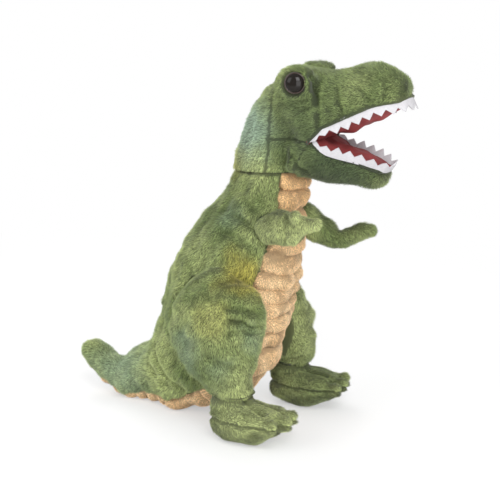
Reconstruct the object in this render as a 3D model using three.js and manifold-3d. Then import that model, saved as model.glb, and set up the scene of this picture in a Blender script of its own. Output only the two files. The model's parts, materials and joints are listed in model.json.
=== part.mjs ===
// A standing stuffed dinosaur, sewn from pile cloth round loose filling, with a ribbed belly and felt teeth.
// Millimetres. +Z is up, the toy looks along -Y and its left side is +X.
// The origin is on the floor, under the middle of the toy.
import * as THREE from "three";
import { mergeVertices } from "three/addons/utils/BufferGeometryUtils.js";
import Module from "manifold-3d";

const wasm = await Module();
wasm.setup();

// Cloth, seams and air
const pileCloth = 2.6; // thickness of the pile cloth with its pile pressed down
const liningCloth = 1.4; // the mouth's smooth lining
const toothFelt = 1.6;
const seamGap = 0.3; // air that pieces sewn together keep here
const standingFlat = 0.5; // how deep the soft underside is pressed flat
const cutReach = 500; // how far a cutting block runs

// Body: a trunk that swells from the neck to the hips, then bends back into the tail
const bodyHeight = 208; // floor to neck seam
const bodyWidth = 104;
const bodyDepth = 104;
const tailPivotBack = 74; // from the origin back to the tail's root
const tailThickness = 52; // at the root
const tailLength = 73; // from the root to the tip's rounding
const tailTipRound = 9;
const bellyAngle = 46; // degrees each side of the middle of the front
const tailPanelAngle = 40;
const tailPanelEndShare = 0.84; // how far along the tail the ribbed panel goes
const ribPitch = 13.9; // on the belly, from groove to groove
const tailRibPitch = 10.6;
const ribHeight = 2.3;

// Neck: a ball of filling that the head nods and turns on
const neckRadius = 29; // the rim of the body at the neck, round the pivot
const neckPivotDrop = 10; // the pivot lies this far under the neck seam
const neckRoom = 8; // the rim's rounding starts this far under the seam
const neckRimStand = 2; // how far the body's rim reaches up inside the neck
const neckRimSwing = 5; // room that the rim needs as the head nods

// Head
const headLength = 116; // from the neck's middle to the snout
const headHeight = 88; // from the neck seam to the top of the nose
const headWidth = 60;
const crownRound = 10;
const noseRound = 6;
const cheekSeamForward = 9; // from the neck's middle to the seam behind the cheek
const cheekSeamTilt = 83; // degrees
const jawLength = 58; // from the jaw's hinge to its tip
const jawDepth = 34;
const jawWidth = 55;
const jawDrop = 6; // how far the jaw hangs under the neck seam
const jawTipRound = 5;
const palateTilt = 25; // degrees
const mouthFloorTilt = 21;
const hoodLength = 40; // the raised padding round each eye
const hoodHeight = 30;
const hoodWidth = 24;
const hoodSpread = 20;

// Teeth: one felt strip in each jaw
const toothBand = 4.2;
const toothHeight = 5;
const toothPitch = 8.5;
const lowerToothLean = 20; // degrees outward
const toothStart = 5; // from the mouth corner to the strip's end, along the jaw

// Eyes: domed plastic buttons on a shank, held by a washer inside the cloth
const eyeRadius = 8;
const eyeDome = 5;
const eyeRim = 1.6;
const eyeSink = 1.1;
const eyeAimForward = 18; // degrees
const eyeAimUp = 6;
const shankRadius = 2;
const shankLength = 11;
const washerRadius = 5.2;
const washerThickness = 1.5;
const washerBack = 1.6; // from the cloth's inner side to the washer

// Arms
const armLength = 60;
const armThickness = 25;
const armSpread = 28; // the shoulder's distance from the middle
const armTipRound = 4;
const armRoom = 2.5; // air that an arm keeps to the trunk at rest
const armSwingRoom = 2.4; // and at the ends of its swing
const armSwings = { right: [-30, 10], left: [-34, 5] }; // degrees, up and down

// Legs and feet
const hipPlane = 36; // the flat seam that each thigh is sewn on by
const legSpread = 53;
const thighWidth = 51;
const thighDepth = 88;
const thighRound = 9;
const ankleHeight = 35;
const footLength = 70;
const footWidth = 48;
const footRound = 6;
const toeRound = 5;
const soleSeamHeight = 9;
const legSwingRoom = 27; // room behind the hip's line for the leg that swings back

// Rows of places follow as shares, chosen by hand, of the sizes above.
// Body rows: forward of bodyDepth, up of bodyHeight, half width of bodyWidth, half depth of bodyDepth
const bodyShares = [
  [0.348, 1.02, 0.27, 0.27],
  [0.326, 0.962, 0.28, 0.275],
  [0.295, 0.885, 0.315, 0.302],
  [0.214, 0.779, 0.38, 0.373],
  [0.107, 0.673, 0.442, 0.437],
  [0.019, 0.567, 0.481, 0.481],
  [-0.048, 0.457, 0.5, 0.5],
  [-0.125, 0.337, 0.471, 0.49],
  [-0.27, 0.25, 0.413, 0.452],
  [-0.452, 0.178, 0.341, 0.365],
];
// Tail rows: back of tailLength, up of tailThickness from the pivot, half thickness of tailThickness
const tailShares = [
  [0, 0, 0.5],
  [0.167, -0.063, 0.413],
  [0.306, -0.121, 0.346],
  [0.444, -0.156, 0.304],
  [0.597, -0.146, 0.277],
  [0.75, -0.044, 0.25],
  [0.889, 0.09, 0.221],
];
// Neck rows: forward of headLength, up of headHeight, half width and half depth of neckRadius
const neckShares = [
  [0, -0.091, 1.05, 1.03],
  [0.017, 0.091, 1, 0.965],
  [0.058, 0.273, 0.98, 0.93],
  [0.108, 0.432, 1, 0.9],
  [0.158, 0.58, 0.98, 0.76],
  [0.2, 0.682, 0.9, 0.55],
];
// Skull and snout rows: forward of headLength, up of headHeight, half width of headWidth, half depth of headHeight
const skullShares = [
  [0.067, 0.568, 0.4, 0.205],
  [0.167, 0.614, 0.483, 0.273],
  [0.283, 0.545, 0.5, 0.352],
  [0.4, 0.42, 0.492, 0.489],
  [0.525, 0.477, 0.45, 0.4375],
  [0.667, 0.557, 0.425, 0.409],
  [0.783, 0.614, 0.4, 0.369],
  [0.883, 0.67, 0.342, 0.284],
  [0.95, 0.705, 0.258, 0.193],
];
// Jaw rows: forward of jawLength, up of jawDepth from the hinge, half width of jawWidth, half depth of jawDepth
const jawShares = [
  [-0.27, 0.03, 0.509, 0.515],
  [0, 0.088, 0.509, 0.588],
  [0.226, 0.206, 0.445, 0.75],
  [0.435, 0.0735, 0.382, 0.632],
  [0.629, -0.059, 0.336, 0.515],
  [0.79, -0.162, 0.291, 0.412],
  [0.919, -0.235, 0.227, 0.294],
];
// Arm rows: outward, forward and up of armLength from the shoulder, half thickness of armThickness.
// The left arm hangs lower than the right and bends more.
const armShares = {
  right: [
    [0, 0, 0, 0.5],
    [0.083, 0.187, 0.037, 0.54],
    [0.167, 0.355, 0.055, 0.53],
    [0.233, 0.5, 0.118, 0.43],
    [0.283, 0.648, 0.155, 0.32],
    [0.317, 0.79, 0.185, 0.23],
  ],
  left: [
    [0, 0, 0, 0.5],
    [0.1, 0.13, -0.15, 0.48],
    [0.19, 0.27, -0.24, 0.42],
    [0.26, 0.41, -0.325, 0.37],
    [0.32, 0.54, -0.27, 0.32],
    [0.36, 0.7, -0.21, 0.29],
    [0.39, 0.85, -0.18, 0.25],
  ],
};
// Leg rows: outward of legSpread, forward of thighDepth from the hip, up of the hip's height,
// half width of thighWidth, half depth of thighDepth. The left knee is bent less than the right.
const legShares = {
  right: [
    [0.82, -0.091, 1.322, 0.294, 0.273],
    [0.88, -0.045, 1.197, 0.43, 0.403],
    [0.94, 0.034, 1.02, 0.5, 0.472],
    [0.975, 0.08, 0.826, 0.48, 0.443],
    [0.99, 0.136, 0.674, 0.43, 0.352],
    [1, 0.182, 0.544, 0.365, 0.261],
    [0.98, 0.205, 0.391, 0.33, 0.233],
    [0.973, 0.17, 0.2, 0.3, 0.186],
  ],
  left: [
    [0.82, -0.148, 1.322, 0.294, 0.216],
    [0.88, -0.125, 1.197, 0.43, 0.318],
    [0.94, -0.074, 1.02, 0.5, 0.369],
    [0.975, 0.023, 0.826, 0.48, 0.386],
    [0.99, 0.125, 0.674, 0.43, 0.341],
    [1, 0.187, 0.544, 0.365, 0.267],
    [0.98, 0.2, 0.391, 0.33, 0.225],
    [0.973, 0.17, 0.2, 0.3, 0.186],
  ],
};
// Foot rows: forward of footLength from the heel, half width of footWidth, half depth and lift of ankleHeight
const footShares = [
  [0.086, 0.34, 0.357, 0.13],
  [0.243, 0.44, 0.49, 0],
  [0.457, 0.5, 0.486, 0],
  [0.643, 0.5, 0.414, 0.086],
  [0.771, 0.44, 0.329, 0.214],
];
// Toe rows: outward of footWidth at the root and the tip, then how far the tip is along footLength
const toeShares = [
  [0.27, 0.33, 0.87],
  [0.03, 0.04, 0.943],
  [-0.2, -0.25, 0.93],
];
const toeRootShare = 0.64;
// Three places along a toe: half thickness of footWidth, lift of ankleHeight
const toePlaceShares = [
  [0.17, 0.18],
  [0.155, 0.3],
  [0.13, 0.43],
];
const neckForwardShare = 0.326;
const shoulderForwardShare = 0.471;
const shoulderUpShare = 0.798;
const hipForwardShare = 0.096;
const hipUpShare = 0.442;
const jawHingeShare = 0.363;
const mouthCornerShares = [0.103, 0.456];
const hoodForwardShare = 0.28;
const hoodUpShare = 0.785;
const shoulderBallShare = 0.46;
const panelCornerShare = 0.1;
const panelReachShare = 1.3;
const toothTaperShare = 0.2;
const toothCornerShare = 0.35;
const capAngles = [45];
const ribShape = [0, 1];
const eyeSides = 10;
const ballSides = 12;
const polesUp = Math.PI / 2;

const sideNames = { right: -1, left: 1 };
const sides = Object.values(sideNames);
const pivotTail = spot(0, -tailPivotBack, tailThickness / 2 + ribHeight - standingFlat);
const neckForward = neckForwardShare * bodyDepth;
const pivotNeck = spot(0, neckForward, bodyHeight - neckPivotDrop);
const hingeJaw = spot(0, neckForward + jawHingeShare * headLength, bodyHeight - jawDrop + jawDepth / 2);
const hipForward = hipForwardShare * bodyDepth;
const hipUp = hipUpShare * bodyHeight;
const washerOut = eyeSink - pileCloth - washerBack;
const washerIn = washerOut - washerThickness;

// A point from how far it is to the toy's left, forward and up
function spot(left, forward, up) {
  return new THREE.Vector3(left, -forward, up);
}

// One ring of a tube: its centre, half width and half depth
function place(left, forward, up, across, deep) {
  return { at: spot(left, forward, up), across, deep };
}

// A closed three.js geometry, moved by a matrix, as a solid
function solid(geometry, matrix = new THREE.Matrix4()) {
  const moved = geometry.clone().applyMatrix4(matrix);
  moved.deleteAttribute("normal");
  moved.deleteAttribute("uv");
  const merged = mergeVertices(moved);
  return new wasm.Manifold(
    new wasm.Mesh({
      numProp: 3,
      vertProperties: merged.attributes.position.array,
      triVerts: new Uint32Array(merged.index.array),
    }),
  );
}

// A block between two corners given as left, forward and up
function block(low, high) {
  const size = high.map((v, i) => v - low[i]);
  const middle = high.map((v, i) => (v + low[i]) / 2);
  return solid(
    new THREE.BoxGeometry(...size),
    new THREE.Matrix4().makeTranslation(spot(...middle)),
  );
}

// Everything above a plane that leans up to the front by some degrees and passes a point
function above(point, degrees = 0) {
  const half = cutReach / 2;
  const turn = new THREE.Matrix4().makeRotationX(-THREE.MathUtils.degToRad(degrees));
  const lift = new THREE.Matrix4().makeTranslation(0, 0, half);
  const matrix = new THREE.Matrix4().makeTranslation(point).multiply(turn).multiply(lift);
  return solid(new THREE.BoxGeometry(cutReach, cutReach, cutReach), matrix);
}

// Everything on one side of the toy, from some distance off its middle outward
function besideMiddle(side, distance) {
  const centre = side * (distance + cutReach / 2);
  return block(
    [centre - cutReach / 2, -cutReach, -cutReach],
    [centre + cutReach / 2, cutReach, cutReach],
  );
}

// Everything in front of a point
function inFrontOf(point) {
  const forward = -point.y;
  return block([-cutReach, forward, -cutReach], [cutReach, forward + cutReach, cutReach]);
}

// A ball with its poles to the front and back, or up and down
function ball(centre, radius, sides = ballSides, poles = 0) {
  const turn = new THREE.Matrix4().makeRotationX(poles);
  return solid(
    new THREE.SphereGeometry(radius, sides, sides / 2),
    new THREE.Matrix4().makeTranslation(centre).multiply(turn),
  );
}

// A ball whose flat facets all lie outside the radius, to cut a seat that a ball can turn in.
// The middles of its facets face the corners of a ball with the same poles.
function seat(centre, radius, sides = ballSides, poles = 0) {
  const rows = sides / 2 + 1;
  const facet = Math.cos(Math.PI / sides) * Math.cos(Math.PI / (2 * rows));
  const turn = new THREE.Matrix4().makeRotationX(poles);
  return solid(
    new THREE.SphereGeometry((radius + seamGap) / facet, sides, rows, Math.PI / sides),
    new THREE.Matrix4().makeTranslation(centre).multiply(turn),
  );
}

// A bar that lies across the toy from one side to the other
function crossBar(centre, radius, halfLength, sides = 12) {
  return solid(
    new THREE.CylinderGeometry(radius, radius, 2 * halfLength, sides),
    new THREE.Matrix4().makeTranslation(centre).multiply(new THREE.Matrix4().makeRotationZ(Math.PI / 2)),
  );
}

function crossSeat(centre, radius, halfLength, sides = 12) {
  return crossBar(centre, (radius + seamGap) / Math.cos(Math.PI / sides), halfLength, sides);
}

// A smooth line of ring centres, with ring sizes that follow it
function spine(places) {
  const centres = new THREE.CatmullRomCurve3(places.map((p) => p.at));
  const sizes = new THREE.CatmullRomCurve3(
    places.map((p) => new THREE.Vector3(p.across, p.deep, 0)),
  );
  return { centres, sizes };
}

// The ring at one point of a spine, with its own directions: across the toy, deep and onward
function ringAt(line, t, facing) {
  const at = line.centres.getPoint(t);
  const onward = facing ?? line.centres.getTangent(t);
  const size = line.sizes.getPoint(t);
  const across = new THREE.Vector3(1, 0, 0).addScaledVector(onward, -onward.x).normalize();
  const deep = new THREE.Vector3().crossVectors(onward, across);
  return { at, onward, across, deep, halfAcross: size.x, halfDeep: size.y };
}

const roundOutline = (sides) =>
  Array.from({ length: sides }, (_, i) => {
    const angle = (2 * Math.PI * i) / sides;
    return [Math.cos(angle), Math.sin(angle)];
  });

// A slice of a round outline, so many degrees each side of the belly, with its corner near the middle
const sliceOutline = (degrees, steps, reach, corner) => {
  const arc = Array.from({ length: steps + 1 }, (_, i) => {
    const angle = THREE.MathUtils.degToRad(degrees * (1 - (2 * i) / steps));
    return [reach * Math.sin(angle), reach * Math.cos(angle)];
  });
  return [[0, corner], ...arc];
};

// A soft tube: rings of an outline along a spine, with rounded ends
function tube(places, options) {
  const { outline, rings, steps, facing, grow = 0, startRound = 0, endRound = 0, swell = () => 0 } = options;
  const line = spine(places);
  const stops = steps ?? Array.from({ length: rings + 1 }, (_, i) => i / rings);
  const loops = [];
  const addRing = (ring, shrink, shift, extra) => {
    const centre = ring.at.clone().addScaledVector(ring.onward, shift);
    loops.push(
      outline.map(([a, d]) =>
        centre
          .clone()
          .addScaledVector(ring.across, a * (ring.halfAcross + grow + extra) * shrink)
          .addScaledVector(ring.deep, d * (ring.halfDeep + grow + extra) * shrink),
      ),
    );
  };
  const cap = (ring, round, sign, angles) => {
    for (const degrees of angles) {
      const angle = THREE.MathUtils.degToRad(degrees);
      addRing(ring, Math.cos(angle), sign * round * Math.sin(angle), 0);
    }
  };
  const first = ringAt(line, stops[0], facing);
  const last = ringAt(line, stops.at(-1), facing);
  const startCap = startRound > 0 ? startRound + grow : 0;
  const endCap = endRound > 0 ? endRound + grow : 0;
  if (startCap > 0) cap(first, startCap, -1, capAngles.toReversed());
  stops.forEach((t, i) => addRing(ringAt(line, t, facing), 1, 0, swell(i)));
  if (endCap > 0) cap(last, endCap, 1, capAngles);
  const start = first.at.clone().addScaledVector(first.onward, -startCap);
  const end = last.at.clone().addScaledVector(last.onward, endCap);
  return skinLoops(loops, start, end);
}

// Closed loops of points, joined in order and closed by a point at each end, as a solid
function skinLoops(loops, start, end) {
  const n = loops[0].length;
  const points = [...loops.flat(), start, end];
  const startAt = points.length - 2;
  const endAt = points.length - 1;
  const faces = [];
  for (let j = 0; j < n; j++) {
    const k = (j + 1) % n;
    faces.push(startAt, k, j);
    for (let i = 0; i < loops.length - 1; i++) {
      const a = i * n;
      const b = a + n;
      faces.push(a + j, a + k, b + k, a + j, b + k, b + j);
    }
    const top = (loops.length - 1) * n;
    faces.push(endAt, top + j, top + k);
  }
  const geometry = new THREE.BufferGeometry().setFromPoints(points);
  geometry.setIndex(faces);
  return solid(geometry);
}

function join(...solids) {
  return solids.reduce((a, b) => a.add(b));
}

const toy = new THREE.Group();

// A solid as a named mesh of the toy
function piece(name, made, look) {
  const data = made.getMesh();
  const geometry = new THREE.BufferGeometry();
  geometry.setAttribute("position", new THREE.BufferAttribute(data.vertProperties, 3));
  geometry.setIndex(new THREE.BufferAttribute(data.triVerts, 1));
  geometry.computeVertexNormals();
  const mesh = new THREE.Mesh(geometry, look);
  mesh.name = name;
  toy.add(mesh);
  return mesh;
}

const look = (color, roughness) => new THREE.MeshStandardMaterial({ color, roughness, metalness: 0 });
const greenPile = look(0x6f8f45, 0.95);
const tanPile = look(0xd9ab72, 0.95);
const redLining = look(0x7e2a2c, 0.9);
const whiteFelt = look(0xecebee, 0.9);
const filling = look(0xf2f0ea, 1);
const blackPlastic = look(0x141110, 0.1);
const washerPlastic = look(0xdedad0, 0.5);

// Trunk and tail
const trunkPlaces = [
  ...bodyShares.map(([f, u, a, d]) =>
    place(0, f * bodyDepth, u * bodyHeight, a * bodyWidth, d * bodyDepth),
  ),
  place(0, -tailPivotBack, pivotTail.z, tailThickness / 2, tailThickness / 2),
];
const tailPlaces = tailShares.map(([b, u, t]) =>
  place(
    0,
    -tailPivotBack - b * tailLength,
    pivotTail.z + u * tailThickness,
    t * tailThickness,
    t * tailThickness,
  ),
);
const trunkRings = 8;
const trunkSides = 10;
const tailRings = 5;
const tailSides = 8;
const ballRadius = tailThickness / 2;
const overFloor = above(spot(0, 0, 0));

// The trunk's full solid, grown or shrunk, with its top pulled in to the neck's ball
function trunk(grow) {
  const cone = tube(trunkPlaces, { outline: roundOutline(trunkSides), rings: trunkRings, grow });
  const shoulder = bodyHeight - neckRoom + Math.min(grow, 0);
  return cone.subtract(above(spot(0, 0, shoulder))).add(ball(pivotNeck, neckRadius + grow));
}

// Places along a spine at every quarter of a rib, from one share of its length to another
function ribSteps(places, from, to, pitch) {
  const centres = spine(places).centres;
  const length = centres.getLength() * (to - from);
  const ribs = Math.max(2, Math.round(length / pitch));
  const count = ribs * ribShape.length;
  return Array.from({ length: count + 1 }, (_, i) =>
    centres.getUtoTmapping(from + ((to - from) * i) / count),
  );
}

// A ribbed slice of a trunk or tail: the outer form of the pale panel
function ribbedSlice(places, degrees, from, to, pitch) {
  return tube(places, {
    outline: sliceOutline(degrees, 3, 1, panelCornerShare),
    steps: ribSteps(places, from, to, pitch),
    swell: (i) => ribHeight * ribShape[i % ribShape.length],
  });
}

// The same slice made wider and taller, to cut the room that the panel takes from the green cloth
function panelRoom(places, degrees, rings, to = 1) {
  const centres = spine(places).centres;
  const steps = Array.from({ length: rings + 1 }, (_, i) => centres.getUtoTmapping((to * i) / rings));
  const seamAngle = THREE.MathUtils.radToDeg(seamGap / places.at(-1).across);
  return tube(places, { outline: sliceOutline(degrees + 2 * seamAngle, 2, panelReachShare, 0), steps });
}

const armRadius = shoulderBallShare * armThickness;
function shoulderAt(side) {
  return spot(side * armSpread, shoulderForwardShare * bodyDepth, shoulderUpShare * bodyHeight);
}

// The room that each leg needs beside the trunk: a round pocket and the way below it
function legRoom(side) {
  const hip = spot(side * (hipPlane + cutReach / 2), hipForward, hipUp);
  const pocket = crossSeat(hip, thighDepth / 2 + pileCloth, cutReach / 2);
  const way = block(
    [-cutReach, hipForward - legSwingRoom, -cutReach],
    [cutReach, cutReach, hipUp],
  );
  return pocket.add(way.intersect(besideMiddle(side, hipPlane)));
}

const trunkCuts = join(
  seat(pivotTail, ballRadius, ballSides, polesUp),
  ...sides.map((side) => seat(shoulderAt(side), armRadius, 8)),
  ...sides.map((side) => legRoom(side)),
);
const neckBallRadius = neckRadius - pileCloth - seamGap;
const aboveRim = above(spot(0, 0, bodyHeight + neckRimStand));
const trunkInner = trunk(-pileCloth);
const trunkShell = trunk(0)
  .subtract(trunkInner)
  .subtract(seat(pivotNeck, neckBallRadius))
  .subtract(aboveRim)
  .subtract(trunkCuts)
  .intersect(overFloor);
piece("torso_skin", trunkShell.subtract(panelRoom(trunkPlaces, bellyAngle, trunkRings)), greenPile);
const bellyPanel = ribbedSlice(trunkPlaces, bellyAngle, 0, 1, ribPitch)
  .subtract(above(spot(0, 0, bodyHeight - neckRoom)))
  .subtract(trunkInner)
  .subtract(trunkCuts)
  .subtract(seat(pivotNeck, neckBallRadius))
  .subtract(seat(pivotTail, ballRadius + ribHeight, ballSides, polesUp))
  .intersect(overFloor);
piece("belly_panel", bellyPanel, tanPile);
const trunkFilling = trunk(-pileCloth - seamGap)
  .subtract(aboveRim)
  .subtract(seat(pivotNeck, neckBallRadius))
  .subtract(trunkCuts);
piece("torso_stuffing", trunkFilling, filling);
piece("neck_stuffing", ball(pivotNeck, neckBallRadius), filling);

// Tail: its own cloth behind the pivot, and a ball of filling that turns inside the trunk
const tailSkinFront = inFrontOf(pivotTail.clone().add(spot(0, -2 * seamGap, 0)));
function tail(grow) {
  return tube(tailPlaces, {
    outline: roundOutline(tailSides),
    rings: tailRings,
    grow,
    endRound: tailTipRound,
  });
}
const tailShell = tail(0).subtract(tail(-pileCloth)).subtract(tailSkinFront).intersect(overFloor);
piece(
  "tail_skin",
  tailShell.subtract(panelRoom(tailPlaces, tailPanelAngle, tailRings, tailPanelEndShare)),
  greenPile,
);
const tailPanel = ribbedSlice(tailPlaces, tailPanelAngle, 0, tailPanelEndShare, tailRibPitch)
  .subtract(tail(-pileCloth))
  .subtract(tailSkinFront)
  .intersect(overFloor);
piece("tail_underside_panel", tailPanel, tanPile);
const tailBallFront = ball(pivotTail, ballRadius, ballSides, polesUp).intersect(
  inFrontOf(pivotTail.clone().add(spot(0, -seamGap, 0))),
);
piece("tail_stuffing", tail(-pileCloth - seamGap).add(tailBallFront).intersect(overFloor), filling);

// Head and neck
const neckPlaces = neckShares.map(([f, u, a, d]) =>
  place(0, neckForward + f * headLength, bodyHeight + u * headHeight, a * neckRadius, d * neckRadius),
);
const skullPlaces = skullShares.map(([f, u, a, d]) =>
  place(0, neckForward + f * headLength, bodyHeight + u * headHeight, a * headWidth, d * headHeight),
);
const jawPlaces = jawShares.map(([f, u, a, d]) =>
  place(0, -hingeJaw.y + f * jawLength, hingeJaw.z + u * jawDepth, a * jawWidth, d * jawDepth),
);
const mouthCorner = hingeJaw
  .clone()
  .add(spot(0, mouthCornerShares[0] * jawDepth, mouthCornerShares[1] * jawDepth));
const hoodForward = neckForward + hoodForwardShare * headLength;
const hoodUp = bodyHeight + hoodUpShare * headHeight;
const skullTube = { outline: roundOutline(10), rings: 6, facing: spot(0, 1, 0) };
const jawTube = { outline: roundOutline(10), rings: 4, facing: spot(0, 1, 0) };

// The padding that swells round one eye
function hood(side, grow) {
  const egg = new THREE.Matrix4().makeScale(
    hoodWidth / 2 + grow,
    hoodLength / 2 + grow,
    hoodHeight / 2 + grow,
  );
  return solid(
    new THREE.SphereGeometry(1, 8, 4),
    new THREE.Matrix4().makeTranslation(spot(side * hoodSpread, hoodForward, hoodUp)).multiply(egg),
  );
}

function head(grow) {
  const neck = tube(neckPlaces, {
    outline: roundOutline(10),
    rings: 3,
    grow,
    endRound: crownRound,
  });
  const skull = tube(skullPlaces, { ...skullTube, grow, startRound: crownRound, endRound: noseRound });
  return join(neck, skull, hood(-1, grow), hood(1, grow)).intersect(above(spot(0, 0, bodyHeight)));
}

// A point moved square to a plane that leans up to the front by some degrees
function offPlane(point, degrees, distance) {
  const lean = THREE.MathUtils.degToRad(degrees);
  return point.clone().add(spot(0, -distance * Math.sin(lean), distance * Math.cos(lean)));
}

const frontOfJaw = inFrontOf(hingeJaw);
const jawSeat = crossSeat(hingeJaw, jawDepth / 2, cutReach / 2);
function mouthRoom(distance) {
  return frontOfJaw.subtract(above(offPlane(mouthCorner, palateTilt, distance), palateTilt));
}
const headInner = head(-pileCloth);
const headShell = head(0)
  .subtract(headInner)
  .subtract(seat(pivotNeck, neckRadius))
  .subtract(jawSeat)
  .subtract(mouthRoom(0));
const headFillingFull = head(-pileCloth - seamGap).subtract(jawSeat);
const cheekSeam = spot(0, neckForward + cheekSeamForward, bodyHeight);
function behindCheek(gap) {
  return above(cheekSeam.clone().add(spot(0, gap, 0)), cheekSeamTilt);
}
const eyeHoles = join(...sides.map((side) => eyeRoom(side, washerOut + seamGap)));
const eyePockets = join(...sides.map((side) => eyeRoom(side, -2 * seamGap)));
piece("neck_back_skin", headShell.intersect(behindCheek(-seamGap / 2)), greenPile);
const faceShell = headShell.subtract(behindCheek(seamGap / 2));
const cheeks = faceShell.subtract(above(offPlane(mouthCorner, 0, -seamGap / 2)));
for (const [name, side] of Object.entries(sideNames)) {
  piece(`cheek_${name}_skin`, cheeks.intersect(besideMiddle(side, 0)), greenPile);
}
piece(
  "head_skin",
  faceShell.intersect(above(offPlane(mouthCorner, 0, seamGap / 2))).subtract(eyeHoles),
  greenPile,
);
piece("palate_lining", headFillingFull.intersect(frontOfJaw).subtract(mouthRoom(0)).subtract(
  above(offPlane(mouthCorner, palateTilt, liningCloth), palateTilt)), redLining);
const rimRoom = seat(pivotNeck, neckRadius).subtract(
  above(spot(0, 0, bodyHeight + neckRimStand + neckRimSwing)),
);
const headFilling = headFillingFull
  .subtract(seat(pivotNeck, neckBallRadius))
  .subtract(rimRoom)
  .subtract(mouthRoom(liningCloth + seamGap))
  .subtract(eyePockets);
piece("head_stuffing", headFilling, filling);

// Eyes
function eyeMatrix(side) {
  const yaw = THREE.MathUtils.degToRad(eyeAimForward);
  const pitch = THREE.MathUtils.degToRad(eyeAimUp);
  const aim = spot(side * Math.cos(yaw) * Math.cos(pitch), Math.sin(yaw) * Math.cos(pitch), Math.sin(pitch));
  const middle = spot(side * hoodSpread, hoodForward, hoodUp);
  const reach = 1 / Math.hypot(aim.x / (hoodWidth / 2), aim.y / (hoodLength / 2), aim.z / (hoodHeight / 2));
  const turn = new THREE.Quaternion().setFromUnitVectors(new THREE.Vector3(0, 1, 0), aim);
  const back = middle.addScaledVector(aim, reach - eyeSink);
  return new THREE.Matrix4().compose(back, turn, new THREE.Vector3(1, 1, 1));
}

// A round solid from its outline, as pairs of distance from the axis and height along it
function turned(outline, segments, matrix, widen = 1) {
  const points = outline.map(([r, y]) => new THREE.Vector2(r * widen, y));
  return solid(new THREE.LatheGeometry(points, segments), matrix);
}

function eye(side) {
  const dome = [90, 50].map((degrees) => {
    const angle = THREE.MathUtils.degToRad(90 - degrees);
    return [eyeRadius * Math.cos(angle), eyeRim + (eyeDome - eyeRim) * Math.sin(angle)];
  });
  const outline = [
    [0, -shankLength],
    [shankRadius, -shankLength],
    [shankRadius, 0],
    [eyeRadius, 0],
    ...dome,
    [0, eyeDome],
  ];
  return turned(outline, eyeSides, eyeMatrix(side));
}

function washer(side) {
  const bore = shankRadius + seamGap;
  const outline = [
    [bore, washerIn],
    [washerRadius, washerIn],
    [washerRadius, washerOut],
    [bore, washerOut],
    [bore, washerIn],
  ];
  return turned(outline, eyeSides, eyeMatrix(side));
}

// The room that an eye, its shank and its washer take from the cloth and the filling
function eyeRoom(side, washerRoom) {
  const outline = [
    [0, -shankLength - seamGap],
    [shankRadius + seamGap, -shankLength - seamGap],
    [shankRadius + seamGap, washerIn - seamGap],
    [washerRadius + seamGap, washerIn - seamGap],
    [washerRadius + seamGap, washerRoom],
    [shankRadius + seamGap, washerRoom],
    [shankRadius + seamGap, -seamGap],
    [eyeRadius + seamGap, -seamGap],
    [eyeRadius + seamGap, 2 * eyeDome],
    [0, 2 * eyeDome],
  ];
  return turned(outline, eyeSides, eyeMatrix(side), 1 / Math.cos(Math.PI / eyeSides));
}
for (const [name, side] of Object.entries(sideNames)) {
  piece(`eye_${name}`, eye(side), blackPlastic);
  piece(`eye_washer_${name}`, washer(side), washerPlastic);
}

// Jaw
function jaw(grow) {
  const jawKeep = crossBar(hingeJaw, jawDepth / 2, cutReach / 2).add(frontOfJaw);
  return tube(jawPlaces, { ...jawTube, grow, endRound: jawTipRound }).intersect(jawKeep);
}
function aboveMouthFloor(distance) {
  return above(offPlane(mouthCorner, -mouthFloorTilt, -distance), -mouthFloorTilt);
}
piece("jaw_skin", jaw(0).subtract(jaw(-pileCloth).add(jawOpenBack())).subtract(aboveMouthFloor(0)), greenPile);
const jawFilling = jaw(-pileCloth - seamGap);
piece("jaw_stuffing", jawFilling.subtract(aboveMouthFloor(liningCloth + seamGap)), filling);
piece(
  "mouth_floor_lining",
  jawFilling.intersect(inFrontOf(mouthCorner)).intersect(aboveMouthFloor(liningCloth)).subtract(aboveMouthFloor(0)),
  redLining,
);

// The inside of the jaw's cloth, run out through its back so that the cloth is open there
function jawOpenBack() {
  return tube(jawPlaces, { ...jawTube, grow: -pileCloth });
}

// Teeth
// The line where a tube along the head meets a plane, from the right mouth corner round the front to the left
function rimLine(places, options, planePoint, degrees, inset) {
  const line = spine(places);
  const lean = THREE.MathUtils.degToRad(degrees);
  const normal = spot(0, -Math.sin(lean), Math.cos(lean));
  const right = [];
  const addPoint = (ring, shrink, shift) => {
    const centre = ring.at.clone().addScaledVector(ring.onward, shift);
    const depth = (ring.halfDeep - inset) * shrink;
    const rise = -centre.clone().sub(planePoint).dot(normal) / ring.deep.dot(normal);
    const share = rise / depth;
    if (Math.abs(share) > 1) return;
    const width = (ring.halfAcross - inset) * shrink * Math.sqrt(1 - share * share);
    const point = centre.addScaledVector(ring.deep, rise);
    if (point.y > planePoint.y - toothStart * Math.cos(lean)) return;
    right.push(spot(-width, -point.y, point.z));
  };
  const count = 40;
  for (let i = 0; i <= count; i++) addPoint(ringAt(line, i / count, options.facing), 1, 0);
  const last = ringAt(line, 1, options.facing);
  for (const degreesOn of [20, 35, 50, 60, 70, 80]) {
    const angle = THREE.MathUtils.degToRad(degreesOn);
    addPoint(last, Math.cos(angle), (options.endRound - inset) * Math.sin(angle));
  }
  const left = right.toReversed().map((p) => spot(-p.x, -p.y, p.z));
  return { curve: new THREE.CatmullRomCurve3([...right, ...left]), normal };
}

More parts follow.
